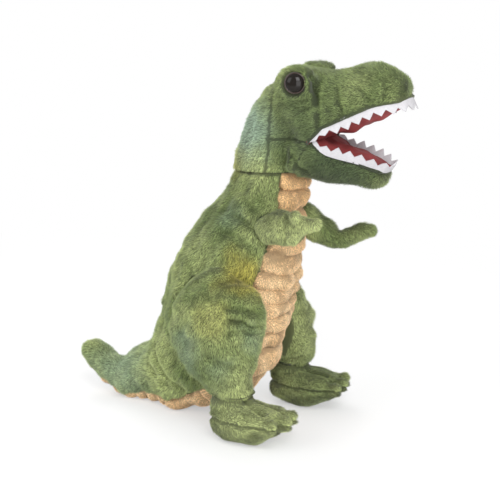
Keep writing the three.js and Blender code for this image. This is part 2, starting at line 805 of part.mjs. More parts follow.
// A felt strip along a rim, with a zigzag edge that stands off the rim's plane
function toothStrip({ curve, normal }, away, leanDegrees) {
  const inside = curve.getPoint(0).lerp(curve.getPoint(1), 1 / 2);
  const length = curve.getLength();
  const teeth = Math.max(3, Math.round(length / toothPitch));
  const count = 2 * teeth;
  const stand = normal.clone().multiplyScalar(away);
  const loops = Array.from({ length: count + 1 }, (_, i) => {
    const share = away > 0 ? 1 - i / count : i / count;
    const at = curve.getPointAt(share);
    const onward = curve.getTangentAt(share).multiplyScalar(-away);
    const across = new THREE.Vector3().crossVectors(stand, onward).normalize();
    const outward = across.clone().multiplyScalar(Math.sign(across.dot(at.clone().sub(inside))));
    const fromEnd = Math.min(i, count - i) / count;
    const taper = Math.min(1, toothCornerShare + fromEnd / toothTaperShare);
    const lean = THREE.MathUtils.degToRad(leanDegrees) * Math.min(1, fromEnd / toothTaperShare);
    const edge = stand.clone().multiplyScalar(Math.cos(lean)).addScaledVector(outward, Math.sin(lean));
    const out = new THREE.Vector3().crossVectors(edge, onward).normalize();
    const root = at.addScaledVector(stand, seamGap + (toothFelt / 2) * Math.sin(lean));
    const height = (toothBand + (i % 2) * toothHeight) * taper;
    const corner = (sideways, off) =>
      root.clone().addScaledVector(out, sideways * (toothFelt / 2)).addScaledVector(edge, off);
    return [corner(-1, 0), corner(1, 0), corner(1, height), corner(-1, height)];
  });
  const middle = (loop) =>
    loop.reduce((a, p) => a.add(p), new THREE.Vector3()).divideScalar(loop.length);
  return skinLoops(loops, middle(loops[0]), middle(loops.at(-1)));
}
const upperRim = rimLine(
  skullPlaces,
  { ...skullTube, endRound: noseRound },
  mouthCorner,
  palateTilt,
  pileCloth,
);
const lowerRim = rimLine(
  jawPlaces,
  { ...jawTube, endRound: jawTipRound },
  mouthCorner,
  -mouthFloorTilt,
  pileCloth / 2,
);
piece("upper_teeth", toothStrip(upperRim, -1, 0), whiteFelt);
piece("lower_teeth", toothStrip(lowerRim, 1, lowerToothLean), whiteFelt);

// Arms
const armPlaces = (name, side) =>
  armShares[name].map(([out, f, u, t]) => {
    const root = shoulderAt(side);
    return place(
      root.x + side * out * armLength,
      -root.y + f * armLength,
      root.z + u * armLength,
      t * armThickness,
      t * armThickness,
    );
  });
const besideArms = trunk(ribHeight + armRoom);
const besideSwungArms = trunk(ribHeight + armSwingRoom);
// The room that the trunk takes beside an arm, as the arm meets it at rest and at both ends of its swing
function trunkBesideArm(name, root) {
  const swung = armSwings[name].map((degrees) =>
    besideSwungArms
      .translate([-root.x, -root.y, -root.z])
      .rotate([-degrees, 0, 0])
      .translate([root.x, root.y, root.z]),
  );
  return join(besideArms, ...swung);
}
for (const [name, side] of Object.entries(sideNames)) {
  const root = shoulderAt(side);
  const arm = (grow) =>
    tube(armPlaces(name, side), { outline: roundOutline(6), rings: 4, grow, endRound: armTipRound });
  const trunkRoom = trunkBesideArm(name, root);
  const armSkin = arm(0)
    .subtract(arm(-pileCloth))
    .subtract(seat(root, armRadius, 8))
    .subtract(trunkRoom);
  const armFilling = arm(-pileCloth - seamGap)
    .subtract(trunkRoom)
    .add(ball(root, armRadius, 8));
  piece(`arm_${name}_skin`, armSkin, greenPile);
  piece(`arm_${name}_stuffing`, armFilling, filling);
}

// Legs and feet
for (const [name, side] of Object.entries(sideNames)) {
  const legPlaces = legShares[name].map(([out, f, u, a, d]) =>
    place(
      side * out * legSpread,
      hipForward + f * thighDepth,
      u * hipUp,
      a * thighWidth,
      d * thighDepth,
    ),
  );
  const leg = (grow) =>
    tube(legPlaces, { outline: roundOutline(8), rings: 5, grow, startRound: thighRound });
  const besideHip = besideMiddle(side, hipPlane + seamGap);
  const aboveAnkle = above(spot(0, 0, ankleHeight + seamGap / 2));
  const belowAnkle = above(spot(0, 0, ankleHeight - seamGap / 2));
  const thigh = (grow) => leg(grow).intersect(besideHip).intersect(aboveAnkle);
  piece(`thigh_${name}_skin`, thigh(0).subtract(leg(-pileCloth)), greenPile);
  piece(`leg_${name}_stuffing`, thigh(-pileCloth - seamGap), filling);
  const middle = legShares[name].at(-1)[0] * legSpread;
  const foot = (grow) => {
    const footPlaces = footShares.map(([f, a, d, rise]) =>
      place(
        side * middle,
        hipForward + f * footLength,
        (d + rise) * ankleHeight - standingFlat,
        a * footWidth,
        d * ankleHeight,
      ),
    );
    const base = tube(footPlaces, {
      outline: roundOutline(8),
      rings: 4,
      grow,
      startRound: footRound,
      endRound: footRound,
      facing: spot(0, 1, 0),
    });
    const toes = toeShares.map(([rootOut, tipOut, tip]) => {
      const toePlaces = toePlaceShares.map(([t, rise], i) => {
        const along = i / (toePlaceShares.length - 1);
        return place(
          side * (middle + THREE.MathUtils.lerp(rootOut, tipOut, along) * footWidth),
          hipForward + THREE.MathUtils.lerp(toeRootShare, tip, along) * footLength,
          t * footWidth + rise * ankleHeight,
          t * footWidth,
          t * footWidth,
        );
      });
      return tube(toePlaces, { outline: roundOutline(6), rings: 1, grow, endRound: toeRound });
    });
    return join(base, leg(grow).subtract(aboveAnkle), ...(grow < 0 ? [] : toes)).subtract(belowAnkle);
  };
  const sole = above(spot(0, 0, soleSeamHeight - seamGap / 2));
  const upper = above(spot(0, 0, soleSeamHeight + seamGap / 2));
  const footShell = foot(0).subtract(foot(-pileCloth)).subtract(leg(-pileCloth)).intersect(overFloor);
  piece(`foot_${name}_upper`, footShell.intersect(upper), greenPile);
  piece(`foot_${name}_sole`, footShell.subtract(sole), greenPile);
  piece(`foot_${name}_stuffing`, foot(-pileCloth - seamGap), filling);
}

export default toy;
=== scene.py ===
"""Dresses the stuffed dinosaur on its packed frame: pile cloth, ribbed belly, felt teeth, linings and eyes.

Metres. +Z is up, the toy looks along -Y and its left side is +X, as in the frame.
"""

import json
import math

import bmesh
import bpy
import numpy as np
from bpy.props import FloatProperty, FloatVectorProperty, PointerProperty
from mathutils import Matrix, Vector


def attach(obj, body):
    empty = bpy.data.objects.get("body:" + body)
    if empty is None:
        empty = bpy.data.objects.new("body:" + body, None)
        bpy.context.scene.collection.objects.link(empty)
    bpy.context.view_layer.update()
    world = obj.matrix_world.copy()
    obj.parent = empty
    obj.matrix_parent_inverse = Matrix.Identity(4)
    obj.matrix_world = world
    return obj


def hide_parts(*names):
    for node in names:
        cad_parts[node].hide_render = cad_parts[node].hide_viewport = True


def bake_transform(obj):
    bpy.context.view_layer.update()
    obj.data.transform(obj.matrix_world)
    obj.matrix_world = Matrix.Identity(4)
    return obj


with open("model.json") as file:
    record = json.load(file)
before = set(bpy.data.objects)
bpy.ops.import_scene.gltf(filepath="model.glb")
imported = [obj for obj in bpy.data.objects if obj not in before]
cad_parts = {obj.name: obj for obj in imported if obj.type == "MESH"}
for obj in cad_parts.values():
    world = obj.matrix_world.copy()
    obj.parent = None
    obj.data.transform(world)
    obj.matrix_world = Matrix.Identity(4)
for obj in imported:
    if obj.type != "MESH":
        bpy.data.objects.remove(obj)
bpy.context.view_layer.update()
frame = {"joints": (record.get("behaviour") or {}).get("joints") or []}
PIVOT = {joint["name"]: np.array(joint["pos_m"], float) for joint in frame["joints"]}

bl_info = {
    "name": "Stuffed dinosaur",
    "version": (1, 0, 0),
    "blender": (4, 5, 0),
    "location": "View3D > Sidebar > Dinosaur",
    "description": "Makes the cloth, pile, teeth and eyes of a stuffed dinosaur round its frame",
    "category": "Add Mesh",
}

# Body rows: forward of the body's depth, up of its height, half width of its width, half depth of its depth
BODY_SHARES = [
    (0.348, 1.02, 0.27, 0.27),
    (0.326, 0.962, 0.28, 0.275),
    (0.295, 0.885, 0.315, 0.302),
    (0.214, 0.779, 0.38, 0.373),
    (0.107, 0.673, 0.442, 0.437),
    (0.019, 0.567, 0.481, 0.481),
    (-0.048, 0.457, 0.5, 0.5),
    (-0.125, 0.337, 0.471, 0.49),
    (-0.27, 0.25, 0.413, 0.438),
    (-0.452, 0.178, 0.341, 0.345),
]
# Tail rows: back of the tail's length, up of its thickness from the pivot, half thickness of its thickness
TAIL_SHARES = [
    (0, 0, 0.5),
    (0.167, -0.063, 0.413),
    (0.306, -0.121, 0.346),
    (0.444, -0.146, 0.304),
    (0.597, -0.116, 0.277),
    (0.75, 0, 0.25),
    (0.862, 0.14, 0.221),
]
# Neck rows: forward of the head's length, up of its height, half width and half depth of the neck's radius
NECK_SHARES = [
    (0, -0.091, 1.05, 1.03),
    (0.017, 0.091, 1, 0.965),
    (0.058, 0.273, 0.98, 0.93),
    (0.108, 0.432, 1, 0.9),
    (0.158, 0.58, 0.98, 0.76),
    (0.2, 0.682, 0.9, 0.55),
]
# Skull rows: forward of the head's length, up of its height, half width of its width,
# half depth of its height
SKULL_SHARES = [
    (0.067, 0.568, 0.4, 0.205),
    (0.167, 0.614, 0.483, 0.273),
    (0.283, 0.545, 0.5, 0.352),
    (0.4, 0.42, 0.492, 0.489),
    (0.525, 0.477, 0.45, 0.4375),
    (0.667, 0.557, 0.425, 0.409),
    (0.783, 0.614, 0.4, 0.369),
    (0.883, 0.67, 0.342, 0.284),
    (0.95, 0.705, 0.258, 0.193),
]
# Jaw rows: forward of the jaw's length, up of its depth from the hinge, half width of its width, half depth
JAW_SHARES = [
    (-0.27, 0.03, 0.509, 0.515),
    (0, 0.088, 0.509, 0.588),
    (0.226, 0.206, 0.445, 0.75),
    (0.435, 0.0735, 0.382, 0.632),
    (0.629, -0.059, 0.336, 0.515),
    (0.79, -0.162, 0.291, 0.412),
    (0.919, -0.235, 0.227, 0.294),
]
# Arm rows: outward, forward and up of the arm's length from the shoulder, half thickness of its thickness
ARM_SHARES = {
    "right": [
        (0, 0, 0, 0.5),
        (0.083, 0.187, 0.037, 0.54),
        (0.167, 0.355, 0.055, 0.53),
        (0.233, 0.5, 0.118, 0.43),
        (0.283, 0.648, 0.155, 0.32),
        (0.317, 0.79, 0.185, 0.23),
    ],
    "left": [
        (0, 0, 0, 0.5),
        (0.1, 0.13, -0.15, 0.48),
        (0.19, 0.27, -0.24, 0.42),
        (0.26, 0.41, -0.325, 0.37),
        (0.32, 0.54, -0.27, 0.32),
        (0.36, 0.7, -0.21, 0.29),
        (0.39, 0.85, -0.18, 0.25),
    ],
}
# Leg rows: outward of the spread, forward of the thigh's depth from the hip, up of the hip's height,
# half width of the thigh's width, half depth of its depth
LEG_SHARES = {
    "right": [
        (0.82, -0.091, 1.322, 0.294, 0.273),
        (0.88, -0.045, 1.197, 0.43, 0.403),
        (0.94, 0.034, 1.02, 0.5, 0.472),
        (0.975, 0.08, 0.826, 0.48, 0.443),
        (0.99, 0.136, 0.674, 0.43, 0.352),
        (1, 0.182, 0.544, 0.365, 0.261),
        (0.98, 0.205, 0.391, 0.33, 0.233),
        (0.973, 0.17, 0.2, 0.3, 0.186),
    ],
    "left": [
        (0.82, -0.148, 1.322, 0.294, 0.216),
        (0.88, -0.125, 1.197, 0.43, 0.318),
        (0.94, -0.074, 1.02, 0.5, 0.369),
        (0.975, 0.023, 0.826, 0.48, 0.386),
        (0.99, 0.125, 0.674, 0.43, 0.341),
        (1, 0.187, 0.544, 0.365, 0.267),
        (0.98, 0.2, 0.391, 0.33, 0.225),
        (0.973, 0.17, 0.2, 0.3, 0.186),
    ],
}
# Foot rows: forward of the length from the heel, half width of the width,
# half depth and lift of the ankle height
FOOT_SHARES = [
    (0.086, 0.34, 0.357, 0.13),
    (0.243, 0.44, 0.49, 0),
    (0.457, 0.5, 0.486, 0),
    (0.643, 0.5, 0.414, 0.086),
    (0.771, 0.44, 0.329, 0.214),
]
# Toe rows: outward of the foot's width at the root and at the tip, and how far the tip is along the foot
TOE_SHARES = [(0.27, 0.33, 0.87), (0.03, 0.04, 0.943), (-0.2, -0.25, 0.93)]
TOE_ROOT_SHARE = 0.64
# Three places along a toe: half thickness of the foot's width, lift of the ankle's height
TOE_PLACE_SHARES = [(0.17, 0.18), (0.155, 0.3), (0.13, 0.43)]

SIDES = {"right": -1, "left": 1}


def size(label, text, metres):
    return FloatProperty(name=label, description=text, default=metres, unit="LENGTH", precision=4)


def turn(label, text, degrees):
    return FloatProperty(name=label, description=text, default=math.radians(degrees), subtype="ANGLE")


def colour(label, text, rgb):
    return FloatVectorProperty(
        name=label, description=text, default=rgb, size=3, subtype="COLOR", min=0, max=1
    )


class DINOSAUR_PG_body(bpy.types.PropertyGroup):
    """The trunk and the tail"""

    height: size("Body height", "From the floor to the neck seam", 0.208)
    width: size("Body width", "Across the widest part of the trunk", 0.104)
    depth: size("Body depth", "From the back to the belly at the widest part", 0.104)
    tail_thickness: size("Tail thickness", "At the tail's root", 0.052)
    tail_length: size("Tail length", "From the root to where the tip rounds off", 0.073)
    tail_tip_round: size("Tail tip round", "How far the tip's rounding reaches", 0.009)
    belly_angle: turn("Belly angle", "Half the arc that the ribbed belly takes", 46)
    tail_panel_angle: turn("Tail panel angle", "Half the arc that the ribbed underside takes", 40)
    tail_panel_end: FloatProperty(
        name="Tail panel end",
        description="How far along the tail the panel goes",
        default=0.76,
        subtype="FACTOR",
    )
    tail_tip_angle: turn("Tail tip angle", "Half the arc that the underside takes at its end", 17)
    rib_pitch: size("Rib pitch", "From one sewn groove of the belly to the next", 0.0139)
    tail_rib_pitch: size("Tail rib pitch", "From one sewn groove of the tail to the next", 0.0106)
    rib_height: size("Rib height", "How far a rib swells between its grooves", 0.0048)


class DINOSAUR_PG_head(bpy.types.PropertyGroup):
    """The neck, the head, the jaw and what they carry"""

    neck_radius: size("Neck radius", "Of the round seam that the head sits on", 0.029)
    length: size("Head length", "From the neck's middle to the snout", 0.116)
    height: size("Head height", "From the neck seam to the top of the nose", 0.088)
    width: size("Head width", "Across the cheeks", 0.06)
    crown_round: size("Crown round", "Rounding at the back of the skull", 0.01)
    nose_round: size("Nose round", "Rounding of the snout's end", 0.006)
    cheek_seam_forward: size("Cheek seam", "From the neck's middle forward to the seam", 0.009)
    cheek_seam_tilt: turn("Cheek seam tilt", "How steep the seam behind the cheek is", 83)
    jaw_length: size("Jaw length", "From the hinge to the jaw's tip", 0.058)
    jaw_depth: size("Jaw depth", "From the jaw's lip to its underside", 0.034)
    jaw_width: size("Jaw width", "Across the jaw at its hinge", 0.055)
    jaw_tip_round: size("Jaw tip round", "Rounding of the jaw's tip", 0.005)
    corner_forward: size("Mouth corner forward", "From the jaw's hinge", 0.0035)
    corner_up: size("Mouth corner up", "From the jaw's hinge", 0.0155)
    palate_tilt: turn("Palate tilt", "How the roof of the mouth rises to the front", 25)
    floor_tilt: turn("Mouth floor tilt", "How the mouth's floor falls to the front", 21)
    hood_length: size("Hood length", "Of the padding round an eye, front to back", 0.04)
    hood_height: size("Hood height", "Of the padding round an eye", 0.03)
    hood_width: size("Hood width", "Of the padding round an eye, across the head", 0.024)
    hood_spread: size("Hood spread", "From the head's middle to the padding's middle", 0.02)


class DINOSAUR_PG_limbs(bpy.types.PropertyGroup):
    """The arms, the legs and the feet"""

    arm_length: size("Arm length", "From the shoulder to the arm's tip", 0.06)
    arm_thickness: size("Arm thickness", "At the shoulder", 0.025)
    arm_tip_round: size("Arm tip round", "Rounding of the arm's tip", 0.004)
    hip_plane: size("Hip plane", "From the middle to the seam that a thigh is sewn on by", 0.036)
    leg_spread: size("Leg spread", "From the middle to a leg's own middle", 0.053)
    thigh_width: size("Thigh width", "Across a thigh, side to side", 0.051)
    thigh_depth: size("Thigh depth", "Across a thigh, front to back", 0.088)
    thigh_round: size("Thigh round", "Rounding of the thigh's top", 0.009)
    ankle_height: size("Ankle height", "From the floor to the ankle's seam", 0.035)
    foot_length: size("Foot length", "From the heel to the toes", 0.07)
    foot_width: size("Foot width", "Across the foot", 0.048)
    foot_round: size("Foot round", "Rounding of the heel", 0.006)
    toe_round: size("Toe round", "Rounding of a toe's tip", 0.005)
    sole_seam_height: size("Sole seam", "From the floor to the seam round the foot", 0.009)


def body():
    return bpy.context.scene.dinosaur_body


def head():
    return bpy.context.scene.dinosaur_head


def limbs():
    return bpy.context.scene.dinosaur_limbs


# Curves and surfaces


def smooth(rows, t):
    """Centripetal Catmull-Rom curve through the rows at shares t of its row count.

    Between two rows it is a cubic whose end slopes come from the rows on both sides, and each step
    counts as the square root of its length.
    """
    p = np.asarray(rows, float)
    p = np.vstack([2 * p[0] - p[1], p, 2 * p[-1] - p[-2]])
    at = np.clip(np.asarray(t, float), 0, 1) * (len(p) - 3)
    i = np.minimum(at.astype(int), len(p) - 4)
    w = (at - i)[:, None]
    a, b, c, d = (p[i + k] for k in range(4))
    before, middle, after = (np.linalg.norm(step, axis=1)[:, None] ** 0.5 for step in (b - a, c - b, d - c))
    middle = np.where(middle < 1e-5, 1, middle)
    before = np.where(before < 1e-5, middle, before)
    after = np.where(after < 1e-5, middle, after)
    slope_b = ((b - a) / before - (c - a) / (before + middle) + (c - b) / middle) * middle
    slope_c = ((c - b) / middle - (d - b) / (middle + after) + (d - c) / after) * middle
    return (
        (2 * w**3 - 3 * w**2 + 1) * b
        + (w**3 - 2 * w**2 + w) * slope_b
        + (3 * w**2 - 2 * w**3) * c
        + (w**3 - w**2) * slope_c
    )


def even_steps(rows, steps):
    """Curve shares that lie evenly along the curve's length, from a fine table of its length."""
    fine = np.linspace(0, 1, 600)
    line = smooth(np.asarray(rows, float)[:, :3], fine)
    run = np.concatenate([[0], np.cumsum(np.linalg.norm(np.diff(line, axis=0), axis=1))])
    return np.interp(np.asarray(steps) * run[-1], run, fine), run[-1]


class Rings:
    """Rings along a spine: a centre, the directions across, deep and onward, and half sizes for each.

    Across is the toy's left made square to onward, and deep is onward x across. A rounded end adds rings
    that shrink as the cosine of an angle while they move out as its sine.
    """

    def __init__(self, rows, steps, facing=None, start_round=0.0, end_round=0.0, cap_steps=8):
        rows = np.asarray(rows, float)
        self.share = np.linspace(0, 1, steps)
        t, self.length = even_steps(rows, self.share)
        self.centre = smooth(rows[:, :3], t)
        self.half = smooth(rows[:, 3:], t)
        if facing is None:
            step = 1e-4
            later, earlier = np.minimum(t + step, 1), np.maximum(t - step, 0)
            onward = smooth(rows[:, :3], later) - smooth(rows[:, :3], earlier)
        else:
            onward = np.tile(np.asarray(facing, float), (steps, 1))
        self.onward = onward / np.linalg.norm(onward, axis=1)[:, None]
        self.shrink = np.ones(steps)
        caps = np.radians(90 * np.arange(1, cap_steps) / cap_steps)
        if start_round > 0:
            self._add(0, caps[::-1], -start_round)
        if end_round > 0:
            self._add(-1, caps, end_round)
        across = np.array([1.0, 0, 0]) - self.onward * self.onward[:, :1]
        self.across = across / np.linalg.norm(across, axis=1)[:, None]
        self.deep = np.cross(self.onward, self.across)
        left_over = 1 - np.sin(caps[-1])
        self.start = self.centre[0] - self.onward[0] * (start_round * left_over)
        self.end = self.centre[-1] + self.onward[-1] * (end_round * left_over)

    def _add(self, ring, angles, reach):
        """Rings of a rounded end, before the first ring or after the last."""
        n = len(angles)
        centre = self.centre[ring] + np.sin(angles)[:, None] * reach * self.onward[ring]
        new = [centre, np.tile(self.half[ring], (n, 1)), np.tile(self.onward[ring], (n, 1))]
        new += [np.cos(angles), np.full(n, self.share[ring])]
        old = [self.centre, self.half, self.onward, self.shrink, self.share]
        pairs = zip(new, old) if ring == 0 else zip(old, new)
        joined = [np.concatenate(pair) for pair in pairs]
        self.centre, self.half, self.onward, self.shrink, self.share = joined

    def surface(self, angles, swell=0.0):
        """Points at centre + across cos(angle) (half width + swell) + deep sin(angle) (half depth + swell).

        The half sizes also shrink in a rounded end.
        """
        swell = np.broadcast_to(swell, (len(self.centre), angles.shape[-1]))
        wide = np.cos(angles) * (self.half[:, :1] + swell) * self.shrink[:, None]
        deep = np.sin(angles) * (self.half[:, 1:2] + swell) * self.shrink[:, None]
        return (
            self.centre[:, None]
            + self.across[:, None] * wide[..., None]
            + self.deep[:, None] * deep[..., None]
        )


def around(number):
    return 2 * np.pi * np.arange(number) / number


def ease(x):
    """0 below 0, 1 above 1, and 3x^2 - 2x^3 between."""
    x = np.clip(x, 0, 1)
    return x * x * (3 - 2 * x)


def ripple(points, wave, seed, waves=10):
    """A smooth random field of mean size 1: the sum over random directions d of sin(d . p + phase) x sqrt(2 / n).

    Each direction's length is 2 pi / wave, give or take a third.
    """
    rng = np.random.default_rng(seed)
    ways = rng.normal(size=(waves, 3))
    ways *= 2 * np.pi / wave / np.linalg.norm(ways, axis=1)[:, None] * rng.uniform(0.7, 1.3, (waves, 1))
    phase = rng.uniform(0, 2 * np.pi, waves)
    total = np.zeros(points.shape[:-1])
    for way, shift in zip(ways, phase):
        total += np.sin(points @ way + shift)
    return total * math.sqrt(2 / waves)


class Form:
    """A closed surface as arrays: its points and its faces, each face a row of point numbers."""

    def __init__(self, points, faces):
        self.points = np.asarray(points, float)
        self.faces = [tuple(face) for face in faces]

    def mesh(self, name):
        mesh = bpy.data.meshes.new(name)
        mesh.from_pydata(self.points.tolist(), [], self.faces)
        mesh.update()
        return mesh


def closed_tube(grid, start, end):
    """A grid of rings as a closed form, with a fan of triangles to a pole at each end."""
    rows, n = grid.shape[:2]
    i = np.arange(rows - 1)[:, None] * n
    j = np.arange(n)[None]
    k = (j + 1) % n
    quads = np.stack([i + j, i + k, i + n + k, i + n + j], axis=-1).reshape(-1, 4)
    j, k = j[0], k[0]
    top = (rows - 1) * n
    pole = np.full(n, rows * n)
    fans = np.concatenate([np.stack([pole, k, j], 1), np.stack([pole + 1, top + j, top + k], 1)])
    points = np.concatenate([grid.reshape(-1, 3), [start, end]])
    return Form(points, quads.tolist() + fans.tolist())


def closed_slab(outer, inner):
    """Two matching grids as the two faces of a closed slab, with a wall round their edge."""
    rows, n = outer.shape[:2]
    number = np.arange(rows * n).reshape(rows, n)
    a, b, c, d = number[:-1, :-1], number[:-1, 1:], number[1:, 1:], number[1:, :-1]
    top = np.stack([a, b, c, d], axis=-1).reshape(-1, 4)
    edge = np.concatenate([number[0, :-1], number[:-1, -1], number[-1, :0:-1], number[:0:-1, 0]])
    after = np.roll(edge, -1)
    low = rows * n
    wall = np.stack([after, edge, edge + low, after + low], axis=-1)
    points = np.concatenate([outer.reshape(-1, 3), inner.reshape(-1, 3)])
    return Form(points, top.tolist() + (top[:, ::-1] + low).tolist() + wall.tolist())


def join_forms(forms):
    points, faces, shift = [], [], 0
    for form in forms:
        points.append(form.points)
        faces += [tuple(k + shift for k in face) for face in form.faces]
        shift += len(form.points)
    return Form(np.concatenate(points), faces)


def arrays_of(mesh):
    """A mesh's points, its vertex normals and its triangles as arrays."""
    points = np.zeros(len(mesh.vertices) * 3)
    mesh.vertices.foreach_get("co", points)
    normals = np.zeros(len(mesh.vertices) * 3)
    mesh.vertex_normals.foreach_get("vector", normals)
    mesh.calc_loop_triangles()
    triangles = np.zeros(len(mesh.loop_triangles) * 3, int)
    mesh.loop_triangles.foreach_get("vertices", triangles)
    return points.reshape(-1, 3), normals.reshape(-1, 3), triangles.reshape(-1, 3)


def melt(forms, voxel, softening):
    """Closed forms fused into one skin: a voxel remesh, then rounds of smoothing."""
    mesh = join_forms(forms).mesh("melting")
    obj = bpy.data.objects.new("melting", mesh)
    bpy.context.scene.collection.objects.link(obj)
    remesh = obj.modifiers.new("Fuse", "REMESH")
    remesh.mode = "VOXEL"
    remesh.voxel_size = voxel
    soften = obj.modifiers.new("Soften", "SMOOTH")
    soften.factor = 0.5
    soften.iterations = softening
    graph = bpy.context.evaluated_depsgraph_get()
    made = bpy.data.meshes.new_from_object(obj.evaluated_get(graph))
    bpy.data.objects.remove(obj)
    bpy.data.meshes.remove(mesh)
    return made


def set_points(mesh, points):
    mesh.vertices.foreach_set("co", np.asarray(points, np.float32).ravel())
    mesh.update()


def trimmed(mesh, planes, name):
    """The part of a closed mesh behind each plane, closed again. A plane is a point and an outward direction."""
    bm = bmesh.new()
    bm.from_mesh(mesh)
    for point, outward in planes:
        geometry = bm.verts[:] + bm.edges[:] + bm.faces[:]
        bmesh.ops.bisect_plane(
            bm, geom=geometry, dist=1e-7, plane_co=Vector(point), plane_no=Vector(outward), clear_outer=True
        )
        rim = [edge for edge in bm.edges if edge.is_boundary]
        if rim:
            bmesh.ops.edgeloop_fill(bm, edges=rim)
    bmesh.ops.recalc_face_normals(bm, faces=bm.faces)
    made = bpy.data.meshes.new(name)
    bm.to_mesh(made)
    bm.free()
    return made


SIDE_ON = np.array([0.35, 1, 1])
# The pile fills a fold, so that it is pressed deeper than it looks
FOLD_GAIN = 1.8


def crease(points, normals, path, depth, width):
    """Presses a groove along a path of points: depth x exp(-(distance / width)^2) against the normal.

    The path is first moved to the surface's nearest points. Distances across the toy count for a third,
    because the folds are placed as they look from the side.
    """
    flat = points.reshape(-1, 3)
    path = [flat[((flat - at) ** 2).sum(axis=1).argmin()] for at in np.asarray(path, float)]
    path = np.array(path) * SIDE_ON
    seen = points * SIDE_ON
    nearest = np.full(points.shape[:-1], np.inf)
    for a, b in zip(path[:-1], path[1:]):
        along = np.clip((seen - a) @ (b - a) / max((b - a) @ (b - a), 1e-12), 0, 1)
        nearest = np.minimum(nearest, np.linalg.norm(seen - a - along[..., None] * (b - a), axis=-1))
    return points - normals * (FOLD_GAIN * depth * np.exp(-((nearest / width) ** 2)))[..., None]


SHARP = math.radians(55)


def put(name, mesh, finish, replaces=()):
    """Links a finished mesh, shaded smooth, with its material, and hides the nodes that it stands for."""
    mesh.name = name
    mesh.shade_smooth()
    mesh.set_sharp_from_angle(angle=SHARP)
    obj = bpy.data.objects.new(name, mesh)
    bpy.context.scene.collection.objects.link(obj)
    mesh.materials.append(finish)
    if replaces:
        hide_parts(*replaces)
    return obj


def pinch(points, normals, distance, depth, width):
    """Draws a seam in: depth x exp(-(distance / width)^2) against the normal.

    The distance is each point's own to the seam's plane.
    """
    return points - normals * (depth * np.exp(-((distance / width) ** 2)))[..., None]


def off_plane(points, point, normal):
    return (points - np.asarray(point)) @ np.asarray(normal)


def leaning(tilt):
    """The upward direction of a plane that rises to the front by tilt."""
    return np.array([0, math.sin(tilt), math.cos(tilt)])


# How much tufts differ, and how deep a hollow is when its pile is darkest; the pile is painted darker in hollows and
# creases as shade
TUFT_SWING, DARK_HOLLOW = 0.15, 0.0009
STRAND_FACES = np.array([[0, 2, 1], [0, 1, 3], [1, 2, 3], [2, 0, 3]])


